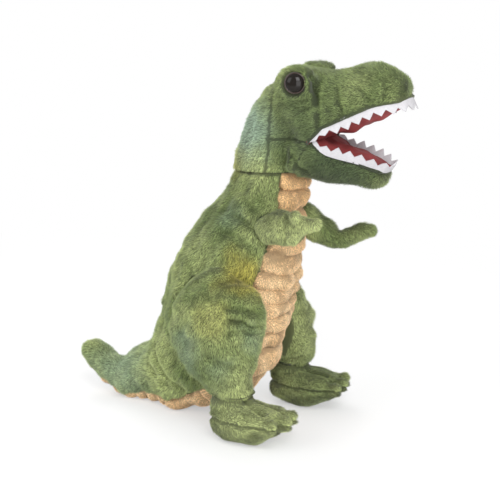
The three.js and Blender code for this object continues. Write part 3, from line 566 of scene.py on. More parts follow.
class Sheet:
    """A skin to sow pile on: its points, normals and triangles, and a share from 0 to 1 at each point."""

    def __init__(self, points, share, closed=True, normals=None, triangles=None, rounds=6):
        if triangles is None:
            triangles = grid_triangles(points.shape[0], points.shape[1], closed)
            normals = grid_normals(points, closed)
        self.points, self.normals = points.reshape(-1, 3), normals.reshape(-1, 3)
        self.triangles = triangles
        self.shape = points.shape[:-1]
        self.share = np.broadcast_to(share, self.shape).ravel()
        self.hollow = self.hollows(rounds)

    def hollows(self, rounds):
        """How far each point lies under the mean of the points around it, along its normal, in metres."""
        near = self.triangles[:, [0, 1, 1, 2, 2, 0]].ravel()
        other = self.triangles[:, [1, 0, 2, 1, 0, 2]].ravel()
        number = np.maximum(np.bincount(near, minlength=len(self.points)), 1)
        mean = self.points
        for _ in range(rounds):
            total = [np.bincount(near, mean[other, axis], len(mean)) / number for axis in range(3)]
            mean = (mean + np.stack(total, axis=1)) / 2
        return ((mean - self.points) * self.normals).sum(axis=1)

    def roots(self, share, density, rng):
        """Places, normals and hollows spread over the triangles by area.

        In a triangle a, b, c a place is (1 - u - v) a + u b + v c, with random u and v.
        """
        share = self.share * np.broadcast_to(share, self.shape).ravel()
        triangles = self.triangles[share[self.triangles].min(axis=1) > 0.5]
        a, b, c = (self.points[triangles[:, i]] for i in range(3))
        reach = np.cumsum(np.linalg.norm(np.cross(b - a, c - a), axis=1) / 2)
        number = int(reach[-1] * 1e6 * density)
        drawn = (np.arange(number) + rng.random(number)) / number * reach[-1]
        taken = triangles[np.searchsorted(reach, drawn)]
        u, v = rng.random((2, number))
        u, v = np.where(u + v > 1, 1 - u, u), np.where(u + v > 1, 1 - v, v)
        weight = np.stack([1 - u - v, u, v], axis=1)[..., None]
        hollow = (self.hollow[taken] * weight[..., 0]).sum(axis=1)
        place = (self.points[taken] * weight).sum(axis=1)
        return place, unit((self.normals[taken] * weight).sum(axis=1)), hollow

    def pile(
        self,
        name,
        share,
        comb,
        finish,
        seed,
        slot="green_pile",
        density=2.3,
        length=0.0025,
        width=0.00044,
        lean=54,
        wild=1.0,
        tuft=0.0036,
    ):
        """Pile cloth's strands, each a thin closed spike of four faces; density is strands to the square mm.

        A strand's way is n cos(lean) + t sin(lean), where n is the skin's normal and t the combed direction
        turned about n by smooth and random angles. Its foot is a triangle, sunk a little, and its tip lies at
        root + way x length. The strand attribute holds 1 at the tip, a random tone, and the tuft's tone with
        painted shade that darkens the pile in hollows and creases.
        """
        rng = np.random.default_rng(seed)
        root, normal, hollow = self.roots(share, density, rng)
        order = np.lexsort((root[:, 0], np.round(root[:, 1] / 0.004), np.round(root[:, 2] / 0.004)))
        root, normal, hollow = root[order], normal[order], hollow[order]
        number = len(root)
        flow = comb(root)
        flow = unit(flow - normal * (flow * normal).sum(axis=1)[:, None])
        swirl = 0.14 * ripple(root, 0.005, seed) + 0.28 * ripple(root, 0.018, seed + 50)
        swirl = (wild * (swirl + 0.25 * rng.normal(size=number)))[:, None]
        flow = flow * np.cos(swirl) + np.cross(normal, flow) * np.sin(swirl)
        angle = np.radians(lean + 8 * rng.normal(size=number) + 5 * ripple(root, 0.008, seed + 60))[:, None]
        way = normal * np.cos(angle) + flow * np.sin(angle)
        across = unit(np.cross(way, normal))
        foot = root - normal * 0.0003
        half = across * (width / 2 * rng.uniform(0.8, 1.2, number))[:, None]
        tip = root + way * (length * rng.uniform(0.75, 1.2, number))[:, None]
        tip[:, 2] = np.maximum(tip[:, 2], 0.0002)
        points = np.stack([foot + half, foot - half, foot + normal * width * 0.35, tip], axis=1)
        mesh = bpy.data.meshes.new(name)
        mesh.vertices.add(number * 4)
        mesh.vertices.foreach_set("co", points.astype(np.float32).ravel())
        corners = (STRAND_FACES + 4 * np.arange(number)[:, None, None]).ravel()
        mesh.loops.add(number * 12)
        mesh.loops.foreach_set("vertex_index", corners.astype(np.int32))
        mesh.polygons.add(number * 4)
        mesh.polygons.foreach_set("loop_start", np.arange(0, number * 12, 3, dtype=np.int32))
        mesh.update(calc_edges=True)
        mesh.shade_smooth()
        sheen = normal + 0.25 * rng.normal(size=(number, 3))
        sides = [unit(sheen + lift * across) for lift in (0.35, -0.35, 0, 0)]
        mesh.normals_split_custom_set_from_vertices(np.stack(sides, axis=1).reshape(-1, 3).tolist())
        # Painted shade: strands in hollows and creases are darkened, on top of the tufts' random tone
        shade = TUFT_SWING * ripple(root, tuft, seed + 70) - 0.6 * np.clip(hollow / DARK_HOLLOW, -0.25, 1)
        tone = np.stack([rng.random(number), 0.5 + shade], axis=1)
        strand = np.zeros((number, 4, 3), np.float32)
        strand[:, 3, 0] = 1
        strand[:, :, 1:] = tone[:, None]
        mesh.attributes.new("strand", "FLOAT_VECTOR", "POINT").data.foreach_set("vector", strand.ravel())
        cells = math.ceil(math.sqrt(number))
        cell = np.stack([np.arange(number) % cells, np.arange(number) // cells], axis=1)[:, None, None]
        inset = np.array([[0.1, 0.1], [0.9, 0.1], [0.5, 0.15], [0.5, 0.9]])[STRAND_FACES]
        layer = mesh.uv_layers.new(name="OFBake")
        layer.data.foreach_set("uv", ((cell + inset) / cells).astype(np.float32).ravel())
        mesh.materials.append(finish)
        obj = bpy.data.objects.new(name, mesh)
        bpy.context.scene.collection.objects.link(obj)
        return obj


def unit(vectors):
    return vectors / np.maximum(np.linalg.norm(vectors, axis=-1), 1e-12)[..., None]


# Shader maths


class Value:
    """A shader socket that adds a Math node when it is used in a sum."""

    def __init__(self, finish, socket):
        self.finish = finish
        self.socket = socket

    def _math(self, operation, *values):
        return self.finish.node("ShaderNodeMath", {"operation": operation}, dict(enumerate(values)))

    def __add__(self, other):
        return self._math("ADD", self, other)

    __radd__ = __add__

    def __rsub__(self, other):
        return self._math("SUBTRACT", other, self)

    def __mul__(self, other):
        return self._math("MULTIPLY", self, other)

    __rmul__ = __mul__

    def step_between(self, low, high):
        """0 at low, 1 at high, eased between."""
        settings = {"interpolation_type": "SMOOTHSTEP", "clamp": True}
        return self.finish.node("ShaderNodeMapRange", settings, {0: self, 1: low, 2: high})


class Finish:
    """A material in the making: its nodes, and the surface shader that they feed."""

    def __init__(self, name, **shader):
        self.material = bpy.data.materials.new(name)
        self.material.use_nodes = True
        self.tree = self.material.node_tree
        self.tree.nodes.clear()
        self.out = self.tree.nodes.new("ShaderNodeOutputMaterial")
        self.shader = self.tree.nodes.new("ShaderNodeBsdfPrincipled")
        self.tree.links.new(self.shader.outputs[0], self.out.inputs["Surface"])
        for socket, value in shader.items():
            self.shader.inputs[socket.replace("_", " ")].default_value = value
        self.place = self.node("ShaderNodeTexCoord", output="Object")

    def node(self, kind, settings=(), inputs=(), output=0):
        """Adds a node: its settings first, then a value or a link for each named or numbered socket."""
        made = self.tree.nodes.new(kind)
        for key, value in dict(settings).items():
            setattr(made, key, value)
        for key, value in dict(inputs).items():
            if isinstance(value, Value):
                self.tree.links.new(value.socket, made.inputs[key])
            elif value is not None:
                made.inputs[key].default_value = value
        return Value(self, made.outputs[output])

    def noise(self, scale, detail=2.0, where=None):
        inputs = {"Vector": where or self.place, "Scale": scale, "Detail": detail}
        return self.node("ShaderNodeTexNoise", {}, inputs, "Fac")

    def mix(self, share, first, second, blend="MIX"):
        """A colour between two colours, or the first changed by the second in a blend mode."""
        settings = {"data_type": "RGBA", "blend_type": blend, "clamp_factor": True}
        first, second = (value if isinstance(value, Value) else (*value, 1) for value in (first, second))
        return self.node("ShaderNodeMix", settings, {0: share, 6: first, 7: second}, 2)

    def grey(self, value):
        """A number as a grey, to multiply a colour by."""
        return self.node("ShaderNodeCombineColor", {}, {0: value, 1: value, 2: value})

    def near(self, x, y, z, reach, where=None):
        """1 at a point, falling to 0 at reach from it."""
        spot = {0: where or self.place, 1: (x, y, z)}
        away = self.node("ShaderNodeVectorMath", {"operation": "DISTANCE"}, spot, 1)
        return away.step_between(reach, reach * 0.2)

    def mirrored(self, wander):
        """The object's place with both sides taken as one, shifted about by a noise of a few centimetres."""
        x, y, z = (self.node("ShaderNodeSeparateXYZ", {}, {0: self.place}, name) for name in "XYZ")
        x = self.node("ShaderNodeMath", {"operation": "ABSOLUTE"}, {0: x})
        place = self.node("ShaderNodeCombineXYZ", {}, {0: x, 1: y, 2: z})
        shifts = {"Vector": self.place, "Scale": 45.0, "Detail": 2.0}
        shift = self.node("ShaderNodeTexNoise", {}, shifts, "Color")
        shift = self.node("ShaderNodeVectorMath", {"operation": "SUBTRACT"}, {0: shift, 1: (0.5, 0.5, 0.5)})
        shift = self.node("ShaderNodeVectorMath", {"operation": "SCALE"}, {0: shift, "Scale": wander * 2})
        return self.node("ShaderNodeVectorMath", {"operation": "ADD"}, {0: place, 1: shift})

    def stranded(self, base, root, rise, spread, tufts):
        """A colour with painted shade, darker at a strand's root, on the bare cloth under the pile and in hollows, and
        varied from strand to strand and from tuft to tuft.
        """
        strand = self.node("ShaderNodeAttribute", {"attribute_name": "strand"}, {}, "Vector")
        tip, tone, tuft = (self.node("ShaderNodeSeparateXYZ", {}, {0: strand}, name) for name in "XYZ")
        # Painted shade: the root and the bare cloth, which reads no strand attribute, are darkest, as if shaded by the
        # pile; the tuft value also carries the hollows' painted shade
        light = (root + rise * tip) * (1 - spread / 2 + spread * tone) * (1 - tufts / 2 + tufts * tuft)
        return self.mix(1.0, base, self.grey(light), "MULTIPLY")

    def wears(self, **sockets):
        for socket, value in sockets.items():
            self.tree.links.new(value.socket, self.shader.inputs[socket.replace("_", " ")])
        return self

    def bumped(self, height, distance):
        bump = self.node("ShaderNodeBump", {}, {"Height": height, "Distance": distance, "Strength": 1.0})
        self.tree.links.new(bump.socket, self.shader.inputs["Normal"])
        return self


# Places on the toy


def corner():
    """The mouth's corner on the middle plane."""
    h = head()
    return PIVOT["jaw_open"] + np.array([0, -h.corner_forward, h.corner_up])


def body_rows():
    b = body()
    tail = PIVOT["tail_sway"]
    rows = [(0, -f * b.depth, u * b.height, a * b.width, d * b.depth) for f, u, a, d in BODY_SHARES]
    return rows + [(0, tail[1], tail[2], b.tail_thickness / 2, b.tail_thickness / 2)]


def tail_rows():
    b = body()
    _, y, z = PIVOT["tail_sway"]
    length, thick = b.tail_length, b.tail_thickness
    return [(0, y + back * length, z + up * thick, half * thick, half * thick) for back, up, half in TAIL_SHARES]


def neck_rows():
    h = head()
    y = PIVOT["neck_nod"][1]
    seam = body().height
    radius = h.neck_radius
    return [(0, y - f * h.length, seam + u * h.height, a * radius, d * radius) for f, u, a, d in NECK_SHARES]


def skull_rows():
    h = head()
    y = PIVOT["neck_nod"][1]
    seam, high = body().height, h.height
    return [(0, y - f * h.length, seam + u * high, a * h.width, d * high) for f, u, a, d in SKULL_SHARES]


def jaw_rows():
    h = head()
    _, y, z = PIVOT["jaw_open"]
    length, wide, deep = h.jaw_length, h.jaw_width, h.jaw_depth
    return [(0, y - f * length, z + u * deep, a * wide, d * deep) for f, u, a, d in JAW_SHARES]


FORWARD = (0, -1, 0)
PILE_ROOM = 0.0015
# The pile's two halves both take the triangles across the middle plane
HALF_OVERLAP = 0.0012
TRUNK_RINGS, TAIL_RINGS, TRUNK_AROUND = 300, 112, 150
PANEL_COLUMNS = 64
PANEL_SINK = 0.0048
SEAM_SINK = 0.0022
SEAM_SOFT = 0.0045


def body_rings():
    """The trunk's rings and then the tail's as one set, with each ring's rib phase and panel half angle.

    The phase grows by one from groove to groove. The half angle is the belly's along the trunk, turns to the
    tail's at its root, and narrows evenly to the panel's end.
    """
    b = body()
    rings = Rings(body_rows(), TRUNK_RINGS)
    tail = Rings(tail_rows(), TAIL_RINGS, end_round=b.tail_tip_round)
    ribs = round(rings.length / b.rib_pitch)
    last = ribs + round(tail.length * b.tail_panel_end / b.tail_rib_pitch)
    along = tail.share[1:] / b.tail_panel_end
    root = ease((rings.share - 0.8) / 0.2)
    rings.phase = np.concatenate([rings.share * ribs, ribs + along * (last - ribs)])
    rings.last = last
    rings.panel = np.concatenate([
        b.belly_angle + (b.tail_panel_angle - b.belly_angle) * root,
        b.tail_panel_angle + (b.tail_tip_angle - b.tail_panel_angle) * np.minimum(along, 1),
    ])
    rings.start = rings.centre[0] * (1, 1, 0) + (0, 0, b.height)
    rings.end = tail.end
    rings.split = int(np.argmax(rings.centre[:, 1] > PIVOT["tail_sway"][1] - 0.012))
    rings.centre = np.concatenate([rings.centre, tail.centre[1:]])
    rings.half = np.concatenate([rings.half, tail.half[1:]])
    rings.across = np.concatenate([rings.across, tail.across[1:]])
    rings.deep = np.concatenate([rings.deep, tail.deep[1:]])
    rings.shrink = np.concatenate([rings.shrink, tail.shrink[1:]])
    return rings


def seam_distance(rings, angles):
    """How far each point of a ring surface lies outside the panel's edge, in metres, along the ring."""
    off = np.abs((angles - np.pi / 2 + np.pi) % (2 * np.pi) - np.pi) - rings.panel[:, None]
    return off * (rings.half.mean(axis=1) * rings.shrink)[:, None]


def panel_share(rings):
    """1 along the panel, falling to 0 at its end near the tail's tip."""
    return ease((rings.last - rings.phase) / 0.5 + 0.5)[:, None]


def evened(grid, low=TRUNK_RINGS - 14, high=TRUNK_RINGS + 14, rounds=10):
    """Evens out rows low to high, as a rule the step in slope where the trunk's rings meet the tail's."""
    grid = grid.copy()
    for _ in range(rounds):
        grid[low:high] = (grid[low - 1 : high - 1] + 2 * grid[low:high] + grid[low + 1 : high + 1]) / 4
    return grid


# The rings that crowd together in the hollow of the back, and the rounds that even them out
ROWS_CROWDED, CROWDED_ROUNDS = (155, 235), 40


def grid_normals(grid, closed=True):
    """Outward normals of a ring grid: the step to the next column x the step to the next row."""
    if closed:
        step = np.roll(grid, -1, axis=1) - np.roll(grid, 1, axis=1)
    else:
        step = -np.gradient(grid, axis=1)
    normals = np.cross(step, np.gradient(grid, axis=0))
    return normals / np.maximum(np.linalg.norm(normals, axis=-1), 1e-12)[..., None]


def grid_triangles(rows, columns, closed=True):
    """Two triangles for each cell of a grid, wound as a tube's faces are."""
    i = np.arange(rows - 1)[:, None] * columns
    j = np.arange(columns if closed else columns - 1)[None]
    k = (j + 1) % columns
    a, b, c, d = (np.broadcast_to(x, (rows - 1, j.shape[1])) for x in (i + j, i + k, i + columns + k, i + columns + j))
    return np.stack([a, b, c, a, c, d], axis=-1).reshape(-1, 3)


def in_pocket(points):
    """From 0 to 1, how far points are inside the round pocket of a thigh or the way below and before it."""
    _, y, z = PIVOT["leg_right_swing"]
    back, up = points[..., 1] - y, points[..., 2] - z
    pocket = ease((POCKET_OUTER - np.hypot(back, up)) / (POCKET_OUTER - POCKET_INNER))
    way = ease(-up / 0.002) * ease((LEG_SWING_ROOM - back) / 0.003)
    return np.maximum(pocket, way) * (np.abs(points[..., 0]) > limbs().hip_plane - POCKET_SINK)


# A thigh's pocket: its flat and its rim from the hip's pivot, and how far it is sunk
POCKET_INNER, POCKET_OUTER, POCKET_SINK = 0.0335, 0.0380, 0.0008
LEG_SWING_ROOM = 0.027
# How far round the hip's pivot the trunk bears no pile
THIGH_BARE = 0.027


def clear_of_legs(points):
    """Brings points beside a leg in to the flat seam of the hip."""
    wide = np.abs(points[..., 0])
    moved = points.copy()
    moved[..., 0] -= np.sign(points[..., 0]) * (wide - limbs().hip_plane + POCKET_SINK) * in_pocket(points)
    return moved


def in_shoulder(points):
    """How far points are inside a shoulder's ball: radius^2 - distance^2, and the ball's middle."""
    radius = limbs().arm_thickness * 0.47
    return [radius**2 - ((points - PIVOT[f"arm_{side}_swing"]) ** 2).sum(axis=-1) for side in SIDES]


def clear_of_arms(points, normals):
    """Sinks points inside a shoulder's ball against their normal, down to the ball's far side."""
    for side, inside in zip(SIDES, in_shoulder(points)):
        rise = ((points - PIVOT[f"arm_{side}_swing"]) * normals).sum(axis=-1)
        sink = rise + np.sqrt(np.maximum(rise**2 + inside, 0))
        points = points - normals * (sink * ease(inside / 3e-5) * (inside > 0))[..., None]
    return points


def settle(points):
    """Flattens what would reach below the floor or above the neck's seam."""
    points = points.copy()
    points[..., 2] = np.clip(points[..., 2], 0.0004, body().height - 0.0003)
    return points


# Creases on one side, as outward, back and up places; both sides have them
BODY_FOLDS = [
    ([(0.038, -0.026, 0.189), (0.038, -0.034, 0.185), (0.038, -0.043, 0.180), (0.036, -0.050, 0.174)], 0.0018, 0.003),
    ([(0.042, -0.014, 0.179), (0.042, -0.030, 0.172), (0.042, -0.040, 0.165), (0.040, -0.050, 0.160)], 0.0020, 0.003),
    ([(0.046, -0.014, 0.165), (0.046, -0.027, 0.160), (0.044, -0.040, 0.152)], 0.0016, 0.003),
    ([(0.048, -0.040, 0.143), (0.049, -0.026, 0.139), (0.050, -0.008, 0.139)], 0.0014, 0.004),
    ([(0.030, 0.004, 0.199), (0.034, -0.012, 0.195), (0.034, -0.026, 0.199)], 0.0014, 0.003),
    ([(0.024, 0.065, 0.050), (0.026, 0.062, 0.042), (0.025, 0.057, 0.034), (0.022, 0.046, 0.027)], 0.0018, 0.003),
    ([(0.026, 0.054, 0.058), (0.029, 0.050, 0.046), (0.029, 0.043, 0.034), (0.024, 0.030, 0.027)], 0.0020, 0.003),
]


def body_folds(points, normals):
    """Wrinkles of loosely filled cloth: broad waves, and creases by the arms, the waist and the tail."""
    waves = 0.0013 * ripple(points, 0.034, 11) + 0.0006 * ripple(points, 0.015, 12)
    points = points + normals * waves[..., None]
    for side in SIDES.values():
        for path, depth, width in BODY_FOLDS:
            points = crease(points, normals, np.array(path) * (side, 1, 1), depth, width)
    return points


def drawn_in(points, normals):
    """The trunk's surface with its wrinkles, hollowed for the shoulders, and drawn in at the neck's seam."""
    moved = clear_of_arms(body_folds(points, normals), normals)
    return settle(pinch(moved, normals, points[..., 2] - body().height, 0.0005, 0.0022))


def green_grid(rings):
    """The green cloth: it dips under the panel's edge and hugs the thighs and the shoulders."""
    angles = around(TRUNK_AROUND)
    off = seam_distance(rings, angles)
    dip = (PILE_ROOM - PANEL_SINK) * (1 - ease((off + SEAM_SOFT / 2) / SEAM_SOFT)) * panel_share(rings) - PILE_ROOM
    spread = evened(rings.surface(angles, dip), *ROWS_CROWDED, rounds=CROWDED_ROUNDS)
    grid = evened(clear_of_legs(settle(spread)))
    return drawn_in(grid, grid_normals(grid)), off


def rib_profile(phase):
    """0 in the grooves and 1 on top of a rib, which hangs a little: sin(pi x share^1.25) of the way between them."""
    return np.sin(np.pi * (phase % 1) ** 1.25)


def panel_grids(rings):
    """The panel's outer and inner grids: its outer side rises from the seam and carries the ribs.

    A rib swells by height x its profile ^ 0.6 between two grooves.
    """
    angles = np.pi / 2 + np.linspace(1, -1, PANEL_COLUMNS) * rings.panel[:, None]
    inside = -seam_distance(rings, angles)
    ribs = body().rib_height * rib_profile(rings.phase)[:, None] ** 0.6
    swell = -SEAM_SINK * (1 - ease(inside / SEAM_SOFT)) + (ribs - 0.0024) * ease(inside / 0.0028 + 0.35)
    outer = evened(settle(rings.surface(angles, swell * panel_share(rings) - PANEL_SINK * (1 - panel_share(rings)))))
    inner = evened(settle(rings.surface(angles, -PANEL_SINK + 0.0004 - 0.0012 * (1 - panel_share(rings)))))
    outer = drawn_in(outer, grid_normals(outer, False))
    return outer, drawn_in(inner, grid_normals(inner, False))


def make_body(finishes):
    rings = body_rings()
    cut = rings.split
    grid, off = green_grid(rings)
    front = closed_tube(grid[: cut + 1], rings.start, rings.centre[cut]).mesh("torso_cloth")
    nodes = ("torso_skin", "torso_stuffing", "neck_stuffing")
    pieces = [put("torso_cloth", front, finishes["green"], nodes)]
    back = closed_tube(grid[cut:], rings.centre[cut], rings.end).mesh("tail_cloth")
    tails = [put("tail_cloth", back, finishes["green"], ("tail_skin", "tail_stuffing"))]

    outer, inner = panel_grids(rings)
    stop = int(np.argmax(rings.phase > rings.last))
    front, back = slice(0, cut + 1), slice(cut, stop)
    mesh = closed_slab(outer[front], inner[front]).mesh("belly_ribs")
    recalculate(mesh)
    pieces.append(put("belly_ribs", mesh, finishes["tan"], ("belly_panel",)))
    mesh = closed_slab(outer[back], inner[back]).mesh("tail_ribs")
    recalculate(mesh)
    tails.append(put("tail_ribs", mesh, finishes["tan"], ("tail_underside_panel",)))

    share = (off > -0.0004) | (rings.phase > rings.last)[:, None]
    _, y, z = PIVOT["leg_right_swing"]
    under_thigh = (np.hypot(grid[..., 1] - y, grid[..., 2] - z) < THIGH_BARE) & (in_pocket(grid) > 0.5)
    share = share & ~under_thigh & (grid[..., 2] > 0.0012) & (grid[..., 2] < body().height - 0.0012)
    share = share & ~np.logical_or.reduce([inside > -1e-5 for inside in in_shoulder(grid)])
    sheet = Sheet(grid, share)
    row = np.arange(len(grid))[:, None]
    for name, side in SIDES.items():
        on_side = side * grid[..., 0] > -HALF_OVERLAP
        hair = sheet.pile(f"torso_pile_{name}", on_side & (row <= cut), body_comb, finishes["green"], 101, density=2.15)
        pieces.append(hair)
    tails.append(sheet.pile("tail_pile", row >= cut, body_comb, finishes["green"], 103))
    share = (outer[..., 2] > 0.0012) & (outer[..., 2] < body().height - 0.0012)
    # The belly's wider rounds of hollows darken the tan pile in the rib grooves as painted shade
    under = Sheet(outer, share, closed=False, rounds=24)
    short = {"density": 1.6, "length": 0.0017, "width": 0.00055, "lean": 62, "wild": 2.2, "tuft": 0.0026}
    short["slot"] = "tan_pile"
    pieces.append(under.pile("belly_pile", row <= cut, body_comb, finishes["tan"], 104, **short))
    tails.append(under.pile("tail_under_pile", (row >= cut) & (row < stop - 1), body_comb, finishes["tan"], 105, **short))
    for piece in pieces:
        bend_neck(piece)
    for piece in tails:
        bend_tail(piece)


def body_comb(points):
    """The pile lies down along the trunk and back along the tail."""
    back = ease((points[:, 1] - 0.025) / 0.045)[:, None]
    return (1 - back) * (0, 0.4, -1) + back * (0, 1, -0.15)


def bend_neck(piece):
    """Bakes the piece's place into its mesh."""
    _, y, z = PIVOT["neck_nod"]
    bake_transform(piece)


def bend_tail(piece):
    """Bakes the piece's place into its mesh."""
    _, y, z = PIVOT["tail_sway"]
    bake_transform(piece)


def leg_rows(name):
    limb = limbs()
    _, y, z = PIVOT["leg_right_swing"]
    wide, deep, spread = limb.thigh_width, limb.thigh_depth, SIDES[name] * limb.leg_spread
    return [(out * spread, y - f * deep, u * z, a * wide, d * deep) for out, f, u, a, d in LEG_SHARES[name]]


# Creases on one leg, as outward of the middle, forward and up of the hip's line
LEG_FOLDS = [
    ([(0.060, 0.045, 0.003), (0.068, 0.036, 0.009), (0.073, 0.027, 0.010)], 0.0032, 0.0028),
    ([(0.058, 0.046, 0.015), (0.067, 0.035, 0.020), (0.073, 0.022, 0.021)], 0.0018, 0.0028),
    ([(0.056, 0.048, -0.005), (0.067, 0.038, 0.000), (0.073, 0.027, -0.001)], 0.0020, 0.0026),
    ([(0.076, 0.008, -0.021), (0.076, 0.022, -0.027), (0.070, 0.036, -0.029)], 0.0016, 0.0040),
    ([(0.040, 0.006, -0.054), (0.040, 0.020, -0.051), (0.042, 0.030, -0.048)], 0.0016, 0.0026),
]


def make_legs(finishes):
    limb = limbs()
    _, y, z = PIVOT["leg_right_swing"]
    for name, side in SIDES.items():
        leg = Rings(leg_rows(name), 130, start_round=limb.thigh_round)
        thigh = leg.surface(around(130), -PILE_ROOM)
        thigh[..., 0] = side * np.maximum(side * thigh[..., 0], limb.hip_plane + 0.0003)
        thigh[..., 2] = np.maximum(thigh[..., 2], limb.ankle_height + 0.0002)
        normals = grid_normals(thigh)
        outside = ease((side * thigh[..., 0] - limb.hip_plane - 0.001) / 0.004)
        waves = 0.0013 * ripple(thigh, 0.036, 21) + 0.0005 * ripple(thigh, 0.014, 22)
        thigh = thigh + normals * (waves * outside)[..., None]
        for path, depth, width in LEG_FOLDS:
            path = np.array([(side * out, y - f, z + up) for out, f, up in path])
            thigh = crease(thigh, normals, path, depth, width)
        thigh = pinch(thigh, normals, thigh[..., 2] - limb.ankle_height, 0.0020, 0.0035)
        low = leg.centre[-1] * (1, 1, 0) + (0, 0, limb.ankle_height)
        mesh = closed_tube(thigh, leg.start, low).mesh(f"thigh_{name}_cloth")
        nodes = (f"thigh_{name}_skin", f"leg_{name}_stuffing")
        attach(put(f"thigh_{name}_cloth", mesh, finishes["green"], nodes), f"leg_{name}")
        share = (side * thigh[..., 0] > limb.hip_plane + 0.0006) & (thigh[..., 2] > limb.ankle_height + 0.0012)
        sheet = Sheet(thigh, share)
        hair = sheet.pile(f"thigh_{name}_pile", True, leg_comb, finishes["green"], 111)
        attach(hair, f"leg_{name}")
        make_foot(name, side, leg, finishes)


def leg_comb(points):
    """The pile lies down the leg."""
    return np.tile([0, 0.1, -1.0], (len(points), 1))


def foot_comb(points):
    """The pile lies down round the ankle and forward along the foot."""
    down = ease((points[:, 2] - 0.022) / 0.012)[:, None]
    return (1 - down) * (0, -1, -0.25) + down * (0, -0.35, -1)


def foot_form(side, leg):
    """The foot's base, its three toes and the ankle, as closed forms that overlap."""
    limb = limbs()
    y = PIVOT["leg_right_swing"][1]
    middle = leg.centre[-1, 0]
    high, wide, length = limb.ankle_height, limb.foot_width, limb.foot_length
    rows = [(middle, y - f * length, (d + lift) * high, a * wide, d * high) for f, a, d, lift in FOOT_SHARES]
    ends = {"start_round": limb.foot_round, "end_round": limb.foot_round}
    base = Rings(rows, 60, facing=FORWARD, **ends)
    forms = [closed_tube(base.surface(around(64)), base.start, base.end)]
    shank = leg.centre[:, 2] < high + 0.012
    ankle = leg.surface(around(64))[shank]
    forms.append(closed_tube(ankle, leg.centre[shank][0], leg.centre[shank][-1]))
    for root, tip, reach in TOE_SHARES:
        rows = []
        for i, (thick, lift) in enumerate(TOE_PLACE_SHARES):
            along = i / (len(TOE_PLACE_SHARES) - 1)
            x = middle + side * (root + (tip - root) * along) * wide
            forward = (TOE_ROOT_SHARE + (reach - TOE_ROOT_SHARE) * along) * length
            rows.append((x, y - forward, thick * wide + lift * high, thick * wide, thick * wide))
        toe = Rings(rows, 24, end_round=limb.toe_round)
        forms.append(closed_tube(toe.surface(around(32)), toe.start, toe.end))
    return forms


FOOT_SEAM_UP = 0.0195
# Grooves between the toes: outward of the foot's middle, back and up places
TOE_GROOVES = [
    [(0.0075, -0.046, 0.034), (0.0085, -0.058, 0.027), (0.0095, -0.068, 0.018)],
    [(-0.0050, -0.048, 0.034), (-0.0060, -0.062, 0.027), (-0.0070, -0.072, 0.018)],
]


def dent(points, normals, path, depth, width):
    """Presses a groove along a path of points as crease does, with plain distances."""
    return crease(points * (1 / SIDE_ON), normals, np.asarray(path) / SIDE_ON, depth, width) + points * (1 - 1 / SIDE_ON)


def make_foot(name, side, leg, finishes):
    limb = limbs()
    whole = melt(foot_form(side, leg), 0.0011, 4)
    points, normals, triangles = arrays_of(whole)
    thin = PILE_ROOM * ease((normals[:, 2] + 0.9) / 0.4)
    points = points + normals * (0.0006 * ripple(points, 0.02, 31) - thin)[:, None]
    middle = leg.centre[-1, 0]
    for groove in TOE_GROOVES:
        points = dent(points, normals, [(middle + side * out, back, up) for out, back, up in groove], 0.0032, 0.0022)
    points = pinch(points, normals, points[:, 2] - FOOT_SEAM_UP, 0.0022, 0.0015)
    points = pinch(points, normals, points[:, 2] - limb.ankle_height, 0.0020, 0.0035)
    points[:, 2] = np.maximum(points[:, 2], 0.0003)
    set_points(whole, points)
    seam = (0, 0, limb.sole_seam_height)
    top = ((0, 0, limb.ankle_height), (0, 0, 1))
    mesh = trimmed(whole, [top, (seam, (0, 0, -1))], f"foot_{name}_cloth")
    nodes = (f"foot_{name}_upper", f"foot_{name}_stuffing")
    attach(put(f"foot_{name}_cloth", mesh, finishes["green"], nodes), f"leg_{name}")
    mesh = trimmed(whole, [(seam, (0, 0, 1))], f"sole_{name}_cloth")
    nodes = (f"foot_{name}_sole",)
    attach(put(f"sole_{name}_cloth", mesh, finishes["green"], nodes), f"leg_{name}")
    share = (points[:, 2] > 0.0014) & (points[:, 2] < limb.ankle_height - 0.0008)
    share = share & (np.abs(points[:, 2] - FOOT_SEAM_UP) > 0.0008)
    sheet = Sheet(points, share, triangles=triangles, normals=normals)
    hair = sheet.pile(f"foot_{name}_pile", True, foot_comb, finishes["green"], 121, length=0.0024, lean=64)
    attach(hair, f"leg_{name}")
    bpy.data.meshes.remove(whole)


def arm_comb(points):
    """The pile lies down round the arm and a little forward."""
    return np.tile([0, -0.5, -1.0], (len(points), 1))


# Claws at an arm's end: how far along the arm they start, and their tips outward, forward and up of its length
CLAW_TIPS = {
    "right": [(0.44, 0.54, 0.32), (0.27, 0.86, 0.15), (0.36, 0.45, -0.11)],
    "left": [(0.42, 0.74, -0.27), (0.42, 0.93, -0.16)],
}
CLAW_HALF = 0.0046
HAND_SLIM = {"right": 0.78, "left": 0.95}
# The crease where the hand starts, forward of the arm's length
HAND_START = {"right": 0.36, "left": 0.42}


